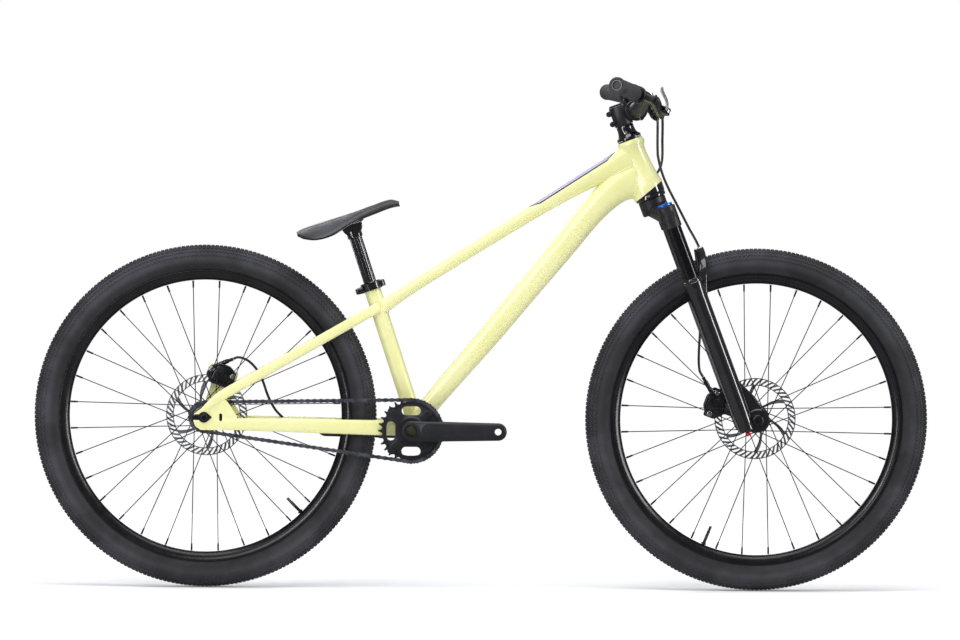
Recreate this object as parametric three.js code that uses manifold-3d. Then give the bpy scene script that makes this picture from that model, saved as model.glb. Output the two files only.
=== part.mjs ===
// A rigid dirt jump bike with a sprung fork, two disc brakes and one sprocket, in millimetres.
// The origin is the centre of the bottom bracket. +X points forward, +Y to the rider's left
// and +Z up. Steered pieces are drawn in a frame whose +Z runs up the steering axis from the
// crown's seat, and seat pieces in one whose +Z runs up the seat tube.
import * as THREE from "three";
import { mergeVertices } from "three/addons/utils/BufferGeometryUtils.js";
import Module from "manifold-3d";

const wasm = await Module();
wasm.setup();

const { PI, abs, asin, cos, max, min, round, sign, sin } = Math;
const radians = THREE.MathUtils.degToRad;

// Clearances that every piece shares
const gap = 0.3;
const overrun = 5;

// How the bike stands
const rearCentre = 404.2;
const frontCentre = 677;
const bottomBracketDrop = 25;
const headAngle = 69.4;
const seatAngle = 71.7;
const seatTubeOffset = 12.5;
const forkRake = 44;
const axleToCrown = 478;

// Wheels
const rimRadius = 286;
const rimDepth = 19;
const rimInnerRadius = rimRadius - rimDepth;
const rimWidth = 31;
const rimWall = 2;
const rimHookDepth = 9;
const rimSeatRadius = rimRadius - rimHookDepth;
const tyreHeight = 50;
const tyreRadius = rimRadius + tyreHeight;
const tyreWidth = 57;
const tyreWall = 3.4;
const rimNoseWidth = 12;
const spokeCount = 32;
const spokeDiameter = 2.2;
const spokeRimSpread = 4;
const hubBore = 16.6;
const hubBarrelDiameter = 27;
const hubFlangeDiameter = 49;
const hubFlangeThickness = 5;
const hubFlangeOffset = 26;
const rotorSeatDiameter = 44;
const rotorPlane = 41;
const valveDiameter = 6;
const valveLength = 36;
const valveHeadDiameter = 10;
const rearValveAngle = -45;
const frontValveAngle = 247.5;

// Disc brakes
const rotorDiameter = 160;
const rotorThickness = 1.8;
const rotorBandWidth = 15;
const rotorSlots = 12;
const rotorArms = 6;
const rotorSlotWidth = 3;
const caliperLength = 60;
const caliperDepth = 42;
const caliperWidth = 27;
const caliperReach = 105;
const caliperLegRoom = 1.5;
const caliperPortDiameter = 9;
const caliperPortLength = 36;
const caliperPortLean = 10;
const caliperSlot = 3.8;
const caliperBoltDiameter = 12;
const rearCaliperAngle = 70;
const frontCaliperAngle = 160;
const rearPortAngle = 21;
const frontPortAngle = 119;
const brakeTabThickness = 6;
const brakeTabFoot = 26;
const brakeTabOverlap = 3;

// Rear hub, axle and sprocket
const rearHubWidth = 135;
const freewheelBoss = 32;
const freewheelDiameter = 44;
const freewheelWidth = 18;
const cogTeeth = 14;
const cogThickness = 2.4;
const axleDiameter = 16;
const axleStubDiameter = 9.6;
const axleHeadDiameter = 24;
const axleHeadThickness = 6;
const axleSocketDiameter = 9;

// Chain, chainring and cranks
const chainPitch = 12.7;
const chainRollerDiameter = 7.6;
const chainPlateHeight = 8.2;
const chainPlateWaist = 5.8;
const chainPlateThickness = 2;
const chainInnerWidth = 5;
const chainLine = 50;
const ringTeeth = 30;
const ringThickness = 2.4;
const ringBandWidth = 13;
const toothHeight = 3.2;
const crankLength = 170;
const crankFaceSpread = 158;
const crankThickness = 15;
const crankBossDiameter = 41;
const crankEndDiameter = 34;
const crankChamfer = 4;
const pedalHoleDiameter = 14.4;
const spindleDiameter = 24;
const spindleBore = 19;
const spiderArms = 4;
const spiderThickness = 5;
const spiderTabDiameter = 17;
const spiderArmWidth = 14;
const ringBoltDiameter = 8;
const ringBoltHead = 12;

// Bottom bracket
const shellWidth = 73;
const shellDiameter = 43;
const shellBore = 34;
const cupWidth = 10;
const cupDiameter = 45;

// Seat tube, collar, seatpost and saddle
const seatTubeDiameter = 31.8;
const seatTubeBore = 26;
const seatTubeLength = 304;
const seatTubeFoot = 12;
const boreFoot = 60;
const collarWidth = 15;
const collarThickness = 3.6;
const collarDrop = 2;
const collarLugLength = 13;
const collarLugWidth = 16;
const collarSlot = 3;
const postDiameter = 25.4;
const postFluteDepth = 1;
const postFlutes = 10;
const postInsertion = 116;
const postExposed = 96;
const postHeadRise = 13;
const postHeadDiameter = 44;
const postHeadWidth = 26;
const saddleLength = 212;
const saddleWidth = 142;
const saddleThickness = 15;
const saddleDroop = 26;
const saddleTilt = 17.6;
const saddleSetback = 107;
const saddleShellThickness = 6;
const saddleHeight = 41;
const saddleHoleDiameter = 19;
const saddleBoltHead = 16;
const saddleBoltDiameter = 8;
const saddleBoltHeadThickness = 5;
const saddleBoltLength = 46;

// Main tubes and stays
const headTubeLength = 122.3;
const headTubeTopDiameter = 48;
const headTubeFlareDiameter = 54;
const headTubeWaistDiameter = 45;
const headTubeFootDiameter = 65;
const headTubeBore = 41;
const headFlareDrop = 8;
const headWaistDrop = 26;
const headFootHeight = 28;
const headCutRear = 4;
const headCutFront = 27;
const topTubeDrop = 42;
const topTubeJoin = seatTubeLength - topTubeDrop;
const topTubeHead = 114;
const topTubeReach = 13;
const topTubeDepth = 58;
const topTubeWidth = 42;
const downTubeHead = 47;
const downTubeReach = 5;
const downTubeDepth = 66;
const downTubeWidth = 54;
const downTubeBow = 25;
const chainstayDepth = 30;
const chainstayWidth = 15;
const chainstayStartSpread = 22;
const chainstayStartRise = 4;
const chainstayBulge = 12;
const seatstayDepth = 20;
const seatstayWidth = 14;
const seatstayDrop = 51;
const seatstayJoin = seatTubeLength - seatstayDrop;
const seatstayStartSpread = 14;
const dropoutThickness = 7;
const dropoutRise = 44;
const dropoutReach = 53;
const dropoutTail = 21;
const dropoutFall = 25;
const dropoutSlotReach = 24;
const dropoutSlotClearance = 0.6;
const tensionerSlotWidth = 6;
const tensionerSlotHeight = 15;
const tensionerSlotPlace = 33;

// Headset, stem and bar
const lowerCupDiameter = 60;
const lowerCupInsert = 40;
const upperCupLip = 2.2;
const upperCupInsert = 12;
const coverFootDiameter = 48.6;
const coverTopDiameter = 34;
const coverHeight = 28;
const steererDiameter = 28.6;
const steererBore = 24;
const stemClampDiameter = 37;
const stemClampHeight = 40;
const stemReach = 33;
const stemWidth = 44;
const stemNeckWidth = 30;
const stemNeckHeight = 32;
const stemLugDiameter = 11;
const stemLugReach = 21;
const stemLugWidth = 24;
const faceplateGap = 2;
const faceplateWall = 5;
const topCapThickness = 4;
const topCapDiameter = 34;
const barClampDiameter = 31.8;
const barEndDiameter = 22.2;
const barWidth = 740;
const barBendSpread = 150;
const barBendForward = 21;
const barBendRise = 15;
const barSweep = 53;
const barUpsweep = 41;
const gripLength = 130;
const gripDiameter = 31;
const gripFlangeDiameter = 35;
const gripFlangeThickness = 4;
const gripEndThickness = 3;

// Brake levers
const leverPlace = 162;
const leverTilt = 36.5;
const leverSkew = 17.5;
const leverClampWidth = 12;
const leverClampDiameter = 32;
const leverCylinderDiameter = 18;
const leverCylinderLength = 78;
const leverCylinderInset = 84;
const leverCylinderReach = 34;
const leverPivotReach = 50;
const leverPivotInset = 54;
const leverNeckLength = 18;
const leverEarThickness = 3;
const leverBladeThickness = 6;
const leverBladeLength = 124;
const leverBladeWidth = 11;
const leverBossDiameter = 15;
const leverPinDiameter = 5;

// Fork
const crownDiameter = 54;
const crownHeight = 30;
const crownArmDepth = 32;
const crownSocketTop = 23;
const crownSocketDepth = 44;
const crownSocketDiameter = 37;
const legOffset = 18;
const legSpread = 132;
const stanchionDiameter = 32;
const stanchionLength = 300;
const stanchionBore = 26;
const legTop = 180;
const legDiameter = 37;
const legFootDiameter = 33;
const legCollarDiameter = 41;
const legCollarHeight = 12;
const legFootDrop = 12;
const legFoot = axleToCrown + legFootDrop;
const legFootTaper = 48;
const legBoreFoot = legFoot - legFootTaper;
const archReach = 35;
const archRise = 56;
const archDepth = 20;
const archWidth = 13;
const archDrop = 22;
const frontHubWidth = 100;
const forkBossDiameter = 46;
const forkBossThickness = 15;
const forkGusset = 84;
const lockoutKnobDiameter = 30;
const lockoutKnobHeight = 6;
const airCapDiameter = 26;
const airCapHeight = 4;
const reboundKnobDiameter = 9;
const reboundKnobHeight = 9;

// Brake hoses
const hoseDiameter = 5;

// Faces round each kind of curve
const wheelSides = 32;
const tubeSides = 16;
const staySides = 10;
const smallSides = 12;
const hoseSides = 6;
const boltSides = 6;
const pinSides = 8;
const padSides = 20;
const roundingSteps = 5;
const frontHoseSteps = 52;
const rearHoseFrontSteps = 30;
const rearHoseSteps = 26;
const quarterTurn = 90;

// Places that the sizes above fix
const rearHub = new THREE.Vector3(-rearCentre, 0, bottomBracketDrop);
const frontHub = new THREE.Vector3(frontCentre, 0, bottomBracketDrop);
const steerUp = new THREE.Vector3(-cos(radians(headAngle)), 0, sin(radians(headAngle)));
const steerForward = new THREE.Vector3(sin(radians(headAngle)), 0, cos(radians(headAngle)));
const crownSeat = frontHub.clone().addScaledVector(steerUp, axleToCrown);
crownSeat.addScaledVector(steerForward, -forkRake);
const steeringPlace = new THREE.Matrix4().makeRotationY(radians(headAngle - quarterTurn));
steeringPlace.setPosition(crownSeat);
const seatFoot = new THREE.Vector3(seatTubeOffset, 0, 0);
const seatPlace = new THREE.Matrix4().makeRotationY(radians(seatAngle - quarterTurn));
seatPlace.setPosition(seatFoot);

const steerPoint = (forward, left, up) => new THREE.Vector3(forward, left, up).applyMatrix4(steeringPlace);
const seatPoint = (forward, left, up) => new THREE.Vector3(forward, left, up).applyMatrix4(seatPlace);

// A surface with its shared corners merged, its empty faces dropped and its faces pointing out
function closed(geometry) {
  const bare = new THREE.BufferGeometry();
  bare.setAttribute("position", geometry.attributes.position.clone());
  bare.setIndex(geometry.index ? geometry.index.clone() : null);
  const merged = mergeVertices(bare);
  const place = merged.attributes.position;
  const faces = [];
  let volume = 0;
  const corner = [new THREE.Vector3(), new THREE.Vector3(), new THREE.Vector3()];
  for (let i = 0; i < merged.index.count; i += 3) {
    const face = [merged.index.getX(i), merged.index.getX(i + 1), merged.index.getX(i + 2)];
    const whole = face[0] !== face[1] && face[1] !== face[2] && face[2] !== face[0];
    if (whole) {
      faces.push(face);
      face.forEach((vertex, k) => corner[k].fromBufferAttribute(place, vertex));
      volume += corner[0].dot(corner[1].cross(corner[2]));
    }
  }
  const outward = volume < 0 ? faces.map(([a, b, c]) => [a, c, b]) : faces;
  merged.setIndex(outward.flat());
  return merged;
}

function solidOf(geometry) {
  const surface = closed(geometry);
  const vertProperties = Float32Array.from(surface.attributes.position.array);
  const triVerts = Uint32Array.from(surface.index.array);
  return new wasm.Manifold(new wasm.Mesh({ numProp: 3, vertProperties, triVerts }));
}

function geometryOf(solid) {
  const mesh = solid.getMesh();
  const geometry = new THREE.BufferGeometry();
  geometry.setAttribute("position", new THREE.BufferAttribute(mesh.vertProperties, 3));
  geometry.setIndex(new THREE.BufferAttribute(mesh.triVerts, 1));
  return geometry;
}

function cut(body, ...tools) {
  return geometryOf(tools.reduce((left, tool) => left.subtract(solidOf(tool)), solidOf(body)));
}

function join(body, ...others) {
  return geometryOf(others.reduce((left, other) => left.add(solidOf(other)), solidOf(body)));
}

const moved = (geometry, x, y, z) => geometry.clone().translate(x, y, z);
const inFrame = (geometry, frame) => geometry.clone().applyMatrix4(frame);
const mirrored = (geometry) => closed(geometry.clone().scale(1, -1, 1));

// Solids of revolution: [radius, height] corners in a loop, round +Y or round +Z
function turnedY(profile, sides) {
  const loop = [...profile, profile[0]].map(([radius, height]) => new THREE.Vector2(radius, height));
  return closed(new THREE.LatheGeometry(loop, sides));
}
const turnedZ = (profile, sides) => turnedY(profile, sides).rotateX(PI / 2);

// A plain round bar between two heights, along +Y or +Z
function barY(diameter, low, high, sides = smallSides) {
  const bar = new THREE.CylinderGeometry(diameter / 2, diameter / 2, high - low, sides);
  return bar.translate(0, (low + high) / 2, 0);
}
const barZ = (diameter, low, high, sides = smallSides) => barY(diameter, low, high, sides).rotateX(PI / 2);

// A tube wall between two heights, along +Y or +Z
function ringY(outer, inner, low, high, sides = tubeSides) {
  return turnedY([[inner / 2, low], [outer / 2, low], [outer / 2, high], [inner / 2, high]], sides);
}
const ringZ = (outer, inner, low, high, sides) => ringY(outer, inner, low, high, sides).rotateX(PI / 2);

// A box between two corners
function block(low, high) {
  const size = high.map((value, axis) => value - low[axis]);
  const box = new THREE.BoxGeometry(...size);
  return box.translate(...low.map((value, axis) => value + size[axis] / 2));
}

// A flat plate drawn in X and Z, between two Y faces
function sidePlate(shape, low, high, curveSegments = 4) {
  const plate = new THREE.ExtrudeGeometry(shape, { depth: high - low, bevelEnabled: false, curveSegments });
  return plate.rotateX(PI / 2).translate(0, high, 0);
}

const polar = (radius, angle) => new THREE.Vector2(radius * cos(angle), radius * sin(angle));

function polygonShape(points) {
  return new THREE.Shape(points.map(([x, z]) => new THREE.Vector2(x, z)));
}

// The outline round two circles of their own size, one at the origin and one along +X
function strapShape(firstRadius, length, endRadius, segments) {
  const lean = asin((firstRadius - endRadius) / length);
  const shape = new THREE.Shape();
  shape.absarc(0, 0, firstRadius, PI / 2 - lean, 1.5 * PI + lean, false);
  shape.absarc(length, 0, endRadius, lean - PI / 2, PI / 2 - lean, false);
  return new THREE.Shape(shape.getPoints(segments));
}

// Shares smaller than this are rounding left over from a turn and count as none
const flatShare = 1e-6;

// A tube whose section changes from station to station. A station has a centre, a width, a depth,
// a squareness (2 is an ellipse) and, for a saddle, how far the section's sides droop.
function loft(stations, sides, across = new THREE.Vector3(0, 1, 0)) {
  const geometry = new THREE.CylinderGeometry(1, 1, 1, sides, stations.length - 1);
  const place = geometry.attributes.position;
  const last = stations.length - 1;
  for (let i = 0; i < place.count; i += 1) {
    const ring = round((0.5 - place.getY(i)) * last);
    const { at, width, depth, square = 2, droop = 0 } = stations[ring];
    const tangent = stations[min(ring + 1, last)].at.clone().sub(stations[max(ring - 1, 0)].at).normalize();
    const side = across.clone().addScaledVector(tangent, -across.dot(tangent)).normalize();
    const up = tangent.clone().cross(side);
    const rounded = (value) => (abs(value) < flatShare ? 0 : sign(value) * abs(value) ** (2 / square));
    const share = rounded(place.getX(i));
    const offset = rounded(place.getZ(i)) * depth / 2 - droop * share * share;
    const point = at.clone().addScaledVector(side, share * width / 2).addScaledVector(up, offset);
    place.setXYZ(i, point.x, point.y, point.z);
  }
  return closed(geometry);
}

// A round cord along a smooth curve through points
function cord(points, diameter, steps) {
  const path = new THREE.CatmullRomCurve3(points, false, "centripetal");
  const outline = new THREE.Shape(circlePath(diameter / 2, hoseSides).getPoints(1));
  const settings = { steps, bevelEnabled: false, extrudePath: path };
  return closed(new THREE.ExtrudeGeometry(outline, settings));
}

const blend = (start, end, share) => start + (end - start) * share;

// Materials, one short function each
const finish = (color, roughness, metalness) => (
  new THREE.MeshStandardMaterial({ color, roughness, metalness })
);
const painted = () => finish(0xf0f08a, 0.3, 0);
const glossBlack = () => finish(0x111114, 0.25, 0.1);
const satinBlack = () => finish(0x1c1d20, 0.5, 0.2);
const rubber = () => finish(0x1d1e20, 0.9, 0);
const brushedSteel = () => finish(0xb8bac0, 0.35, 1);
const chainSteel = () => finish(0x5a5048, 0.4, 0.9);
const blueMetal = () => finish(0x2a6fd0, 0.35, 0.6);
const redMetal = () => finish(0xd01820, 0.35, 0.4);

function named(name, geometry, material) {
  const mesh = new THREE.Mesh(closed(geometry), material);
  mesh.name = name;
  return mesh;
}

// Wheels. Each is drawn round its hub's centre with its axle along +Y.

// Angles round the tyre's section, from its lowest shoulder to the other one
const tyreOuterAngles = [-124, -78, -28, 28, 78, 124].map(radians);
const tyreInnerAngles = [112, 36, -36, -112].map(radians);

// The tyre's casing is one closed loop: round outside, with two beads inside the rim's hooks
function tyreShape() {
  const bead = rimWidth / 2 - rimWall - gap;
  const beadFoot = rimSeatRadius + 2 * gap;
  const centre = (tyreRadius + rimRadius) / 2;
  const rise = (tyreRadius - rimRadius) / 2;
  const outer = tyreOuterAngles.map((angle) => [centre + rise * cos(angle), tyreWidth / 2 * sin(angle)]);
  [outer[2], outer[3]].forEach((point) => {
    point[0] = tyreRadius;
  });
  const inner = tyreInnerAngles.map((angle) => [
    centre + (rise - tyreWall) * cos(angle),
    (tyreWidth / 2 - tyreWall) * sin(angle),
  ]);
  const lip = rimRadius + 2 * gap;
  const foot = [[beadFoot, -bead], [lip, -bead]];
  const head = [[lip, bead], [beadFoot, bead]];
  const innerHead = [[beadFoot, bead - tyreWall], [lip, bead - tyreWall]];
  const innerFoot = [[lip, tyreWall - bead], [beadFoot, tyreWall - bead]];
  return turnedY([...foot, ...outer, ...head, ...innerHead, ...inner, ...innerFoot], wheelSides);
}

// The rim has two hooked walls, a well for the beads and a narrow nose that holds the spokes.
// The valve stands in its hole and is one piece with it here.
function rimShape(valveAngle) {
  const wall = rimWidth / 2;
  const profile = [
    [rimInnerRadius, -rimNoseWidth / 2], [rimInnerRadius, rimNoseWidth / 2],
    [(rimInnerRadius + rimSeatRadius) / 2, wall - rimWall], [rimRadius, wall],
    [rimRadius, wall - rimWall], [rimSeatRadius, wall - rimWall],
    [rimSeatRadius, rimWall - wall], [rimRadius, rimWall - wall],
    [rimRadius, -wall], [(rimInnerRadius + rimSeatRadius) / 2, rimWall - wall],
  ];
  const valveFoot = (rimInnerRadius + rimSeatRadius) / 2;
  const stem = barY(valveDiameter, -valveLength, 0, boltSides);
  const nutFoot = rimInnerRadius - valveFoot - valveHeadDiameter / 2;
  const nut = barY(valveHeadDiameter, nutFoot, 0, boltSides);
  const valve = join(stem, nut).rotateX(PI / 2).translate(0, 0, valveFoot);
  return join(turnedY(profile, wheelSides), valve.rotateY(PI / 2 - radians(valveAngle)));
}

// A bored barrel with two flanges, a rotor seat at the left and any boss at the right
function hubProfile(rightEnd, bossDiameter) {
  const bore = hubBore / 2;
  const barrel = hubBarrelDiameter / 2;
  const flange = hubFlangeDiameter / 2;
  const half = hubFlangeThickness / 2;
  const seatLow = hubFlangeOffset + half + hubFlangeThickness;
  return [
    [bore, rightEnd], [bossDiameter / 2, rightEnd], [bossDiameter / 2, -hubFlangeOffset - half],
    [flange, -hubFlangeOffset - half], [flange, half - hubFlangeOffset],
    [barrel, 2 * half - hubFlangeOffset + half], [barrel, hubFlangeOffset - 3 * half],
    [flange, hubFlangeOffset - half], [flange, hubFlangeOffset + half],
    [barrel, hubFlangeOffset + half], [barrel, seatLow - half], [rotorSeatDiameter / 2, seatLow],
    [rotorSeatDiameter / 2, rotorPlane - gap], [bore, rotorPlane - gap],
  ];
}

// Spokes cross three times on each side and meet the rim's nose at an even pitch
const spokeCrossings = 3;
const spokeSides = 3;

function spokeShape(index) {
  const side = index % 2 === 0 ? 1 : -1;
  const place = (index - (index % 2)) / 2;
  const perSide = spokeCount / 2;
  const pitch = 2 * PI / perSide;
  const lead = (place + (side > 0 ? 0 : 1)) % 2 === 0 ? 1 : -1;
  const hubAngle = place * pitch;
  const rimAngle = hubAngle + lead * (spokeCrossings * pitch - pitch / 4);
  const hubRadius = hubFlangeDiameter / 2 - spokeDiameter;
  const hubPoint = polar(hubRadius, hubAngle);
  const rimPoint = polar(rimInnerRadius * cos(PI / wheelSides) - 2 * gap, rimAngle);
  const hubSide = side * (hubFlangeOffset + lead * spokeDiameter / 2);
  const start = new THREE.Vector3(hubPoint.x, hubSide, hubPoint.y);
  const rimSide = side * (spokeRimSpread + lead * spokeDiameter) / 2;
  const end = new THREE.Vector3(rimPoint.x, rimSide, rimPoint.y);
  const run = end.clone().sub(start);
  const rod = barY(spokeDiameter, -run.length() / 2, run.length() / 2, spokeSides);
  const upright = new THREE.Vector3(0, 1, 0);
  const turn = new THREE.Quaternion().setFromUnitVectors(upright, run.clone().normalize());
  rod.applyQuaternion(turn);
  return rod.translate(...start.lerp(end, 1 / 2).toArray());
}

function hubAndSpokes(rightEnd, bossDiameter) {
  const spokes = Array.from({ length: spokeCount }, (_, index) => spokeShape(index));
  return join(turnedY(hubProfile(rightEnd, bossDiameter), tubeSides), ...spokes);
}

const rotorSlotEndShare = 0.2;
const rotorArmShares = [0.17, 0.5, 0.92, 1.34, 0.8];

// The rotor's braking band has slanted slots, and swept arms carry it from the bolted centre
function rotorShape() {
  const outer = rotorDiameter / 2;
  const bandInner = outer - rotorBandWidth;
  const disc = new THREE.Shape(circlePath(outer, wheelSides).getPoints(1));
  for (let k = 0; k < rotorSlots; k += 1) {
    const angle = 2 * PI * k / rotorSlots;
    const slant = rotorBandWidth / outer;
    const half = rotorSlotWidth / 2 / outer;
    const low = bandInner + rotorBandWidth * rotorSlotEndShare;
    const high = outer - rotorBandWidth * rotorSlotEndShare;
    disc.holes.push(new THREE.Path([
      polar(low, angle - half), polar(high, angle + slant - half),
      polar(high, angle + slant + half), polar(low, angle + half),
    ]));
  }
  const centreRadius = rotorSeatDiameter / 2 + rotorSlotWidth;
  for (let k = 0; k < rotorArms; k += 1) {
    const pitch = 2 * PI / rotorArms;
    const angle = pitch * k;
    const [start, ...rest] = rotorArmShares.map((share) => angle + pitch * share);
    const back = rest.pop();
    const rim = rest.map((turn) => polar(bandInner, turn));
    disc.holes.push(new THREE.Path([polar(centreRadius, start), ...rim, polar(centreRadius, back)]));
  }
  const bore = Array.from({ length: smallSides }, (_, k) => polar(axleDiameter, 2 * PI * k / smallSides));
  disc.holes.push(new THREE.Path(bore));
  return sidePlate(disc, rotorPlane, rotorPlane + rotorThickness, 1);
}

function wheel(prefix, hub, valveAngle, rightEnd, bossDiameter) {
  const group = new THREE.Group();
  group.position.copy(hub);
  group.add(named(`${prefix}_tyre`, tyreShape(), rubber()));
  group.add(named(`${prefix}_rim`, rimShape(valveAngle), satinBlack()));
  group.add(named(`${prefix}_hub_spokes`, hubAndSpokes(rightEnd, bossDiameter), satinBlack()));
  group.add(named(`${prefix}_rotor`, rotorShape(), brushedSteel()));
  return group;
}

// An axle fills the hub's bore, thins to pass the dropouts and ends in two domed socket bolts
function axleShape(overHubs, plates) {
  const inner = overHubs / 2 - gap;
  const face = overHubs / 2 + plates + gap;
  const end = face + axleHeadThickness;
  const stub = axleStubDiameter / 2;
  const head = axleHeadDiameter / 2;
  const crown = axleHeadThickness / 3;
  const half = [
    [axleDiameter / 2, inner], [stub, inner], [stub, face], [head, face],
    [head, end - crown], [head - crown, end], [axleSocketDiameter / 2, end],
    [axleSocketDiameter / 2, face + crown], [0, face + crown],
  ];
  const other = half.map(([radius, height]) => [radius, -height]).reverse();
  return turnedY([...other, ...half], smallSides);
}

// Shares of the caliper's width, depth and half length
const caliperFaceShare = 0.62;
const caliperRootShare = 0.55;
const caliperShoulderShare = 0.35;
const caliperNoseShare = 0.2;
const caliperBoltShare = 0.6;
const caliperBoltSpreadShares = [-0.72, 0.72];
const caliperPortDepthShare = 0.16;
const caliperPortInsetShare = 0.8;

const caliperMiddle = rotorPlane + rotorThickness / 2;
const caliperFace = caliperMiddle + caliperWidth * caliperFaceShare;

// A fixed caliper: two halves that straddle the rotor's edge and meet past it, with two bolt
// heads and a sleeve where the hose comes in
function caliperShape(angle, portAngle) {
  const outer = caliperReach;
  const inner = caliperReach - caliperDepth;
  const low = caliperFace - caliperWidth;
  const half = caliperLength / 2;
  const shoulder = inner + caliperDepth * caliperShoulderShare;
  const nose = outer - caliperDepth * caliperNoseShare;
  const side = (sign) => [
    [inner, sign * half * caliperRootShare], [shoulder, sign * half],
    [nose, sign * half * (1 - caliperNoseShare)], [outer, sign * half * caliperShoulderShare],
  ];
  const outline = polygonShape([...side(-1), ...side(1).reverse()]);
  const body = sidePlate(outline, low, caliperFace, 1);
  const slot = block(
    [inner - overrun, caliperMiddle - caliperSlot / 2, -half - overrun],
    [rotorDiameter / 2 + caliperSlot / 2, caliperMiddle + caliperSlot / 2, half + overrun],
  );
  const heads = caliperBoltSpreadShares.map((share) => {
    const head = barY(caliperBoltDiameter, low - brakeTabOverlap / 2, low + overrun, boltSides);
    return moved(head, inner + caliperDepth * caliperBoltShare, 0, share * half);
  });
  const turned = join(cut(body, slot), ...heads).rotateY(-radians(angle));
  const port = barZ(caliperPortDiameter, 0, caliperPortLength, pinSides);
  return join(turned, inFrame(port, portFrame(angle, portAngle)));
}

// The hose sleeve starts inside the caliper's outer half, a few degrees round from its middle,
// and points along its own angle
function portFrame(angle, portAngle) {
  const lean = portAngle < quarterTurn ? caliperPortLean : -caliperPortLean;
  const middle = polar(caliperReach - caliperDepth * caliperPortDepthShare, radians(angle + lean));
  const turn = new THREE.Matrix4().makeRotationY(radians(quarterTurn - portAngle));
  return turn.setPosition(middle.x, caliperFace - caliperPortDiameter * caliperPortInsetShare, middle.y);
}

// Shares of the tab's half length and of the caliper's inner radius
const tabStemShare = 0.45;
const tabStemTopShare = 0.94;
const tabBackShare = 0.4;
const tabLipShare = 0.32;
const tabDipShare = 0.1;

// The fixed plate that carries a caliper: a stem that spreads to the two bolts
function brakeTab(angle, high) {
  const inner = caliperReach - caliperDepth;
  const bolt = inner + caliperDepth * caliperBoltShare;
  const half = caliperLength / 2;
  const lip = bolt + half * tabLipShare;
  const stem = half * tabStemShare;
  const side = (sign) => [
    [brakeTabFoot, sign * stem], [inner * tabStemTopShare, sign * stem],
    [bolt - half * tabBackShare, sign * half], [lip, sign * half], [lip, sign * half / 2],
  ];
  const outline = polygonShape([...side(-1), [bolt - half * tabDipShare, 0], ...side(1).reverse()]);
  return sidePlate(outline, caliperFace + gap, high, 1).rotateY(-radians(angle));
}

// Drivetrain

const pitchRadius = (teeth) => chainPitch / 2 / sin(PI / teeth);

// Tooth gaps hold the rollers clear of the metal, and each tooth comes to a point between two
function toothedShape(teeth, firstGap) {
  const radius = pitchRadius(teeth);
  const roller = chainRollerDiameter / 2 + gap;
  const points = [];
  for (let k = 0; k < teeth; k += 1) {
    const angle = firstGap + 2 * PI * k / teeth;
    const side = roller / 2 / radius;
    points.push(polar(radius - roller, angle - side));
    points.push(polar(radius - roller, angle + side));
    points.push(polar(radius + toothHeight, angle + PI / teeth));
  }
  return new THREE.Shape(points);
}

const circlePath = (radius, sides) => new THREE.Path(
  Array.from({ length: sides }, (_, k) => polar(radius, 2 * PI * k / sides)),
);

const ringArmTurn = 0.16;
const ringArmFootShare = 0.44;
const ringWindowShares = [0.3, 0.5, 0.7];

function chainringShape() {
  const shape = toothedShape(ringTeeth, PI / 2);
  const inner = pitchRadius(ringTeeth) - ringBandWidth;
  const tab = (k) => PI / 4 + k * 2 * PI / spiderArms;
  const hole = [];
  for (let k = 0; k < spiderArms; k += 1) {
    const reach = chainringBoltRadius - spiderTabDiameter * ringArmFootShare;
    hole.push(polar(reach, tab(k) - ringArmTurn), polar(reach, tab(k) + ringArmTurn));
    ringWindowShares.forEach((share) => hole.push(polar(inner, tab(k) + share * 2 * PI / spiderArms)));
  }
  shape.holes.push(new THREE.Path(hole));
  for (let k = 0; k < spiderArms; k += 1) {
    const place = polar(chainringBoltRadius, tab(k));
    const bolt = circlePath(ringBoltDiameter / 2 + 2 * gap, boltSides).getPoints(1);
    shape.holes.push(new THREE.Path(bolt.map((point) => point.add(place))));
  }
  return sidePlate(shape, -chainLine - ringThickness / 2, ringThickness / 2 - chainLine, 1);
}

function freewheelShape() {
  const shape = toothedShape(cogTeeth, PI / 2);
  const bore = freewheelBoss / 2 + 2 * gap;
  shape.holes.push(circlePath(bore, tubeSides));
  const cog = sidePlate(shape, -chainLine - cogThickness / 2, cogThickness / 2 - chainLine, 1);
  const low = -chainLine - freewheelWidth / 3;
  const body = ringY(freewheelDiameter, 2 * bore, low, low + freewheelWidth, tubeSides);
  return join(cog, body);
}

// Roller centres run once round the loop: over the chainring's front half, back along the
// bottom, round the sprocket's rear half and forward along the top
function chainPath() {
  const ring = pitchRadius(ringTeeth);
  const cog = pitchRadius(cogTeeth);
  const points = [];
  const half = (centre, radius, teeth, start) => {
    const steps = round(teeth / 2);
    for (let k = 0; k < steps; k += 1) {
      const place = polar(radius, start - PI * k / steps);
      points.push(new THREE.Vector2(centre.x + place.x, centre.z + place.y));
    }
  };
  const run = (from, to) => {
    const steps = round(from.distanceTo(to) / chainPitch);
    for (let k = 0; k < steps; k += 1) {
      points.push(from.clone().lerp(to, k / steps));
    }
  };
  half(new THREE.Vector3(), ring, ringTeeth, PI / 2);
  run(new THREE.Vector2(0, -ring), new THREE.Vector2(rearHub.x, rearHub.z - cog));
  half(rearHub, cog, cogTeeth, -PI / 2);
  run(new THREE.Vector2(rearHub.x, rearHub.z + cog), new THREE.Vector2(0, ring));
  return points.reverse();
}

const rollerSides = 4;

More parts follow.
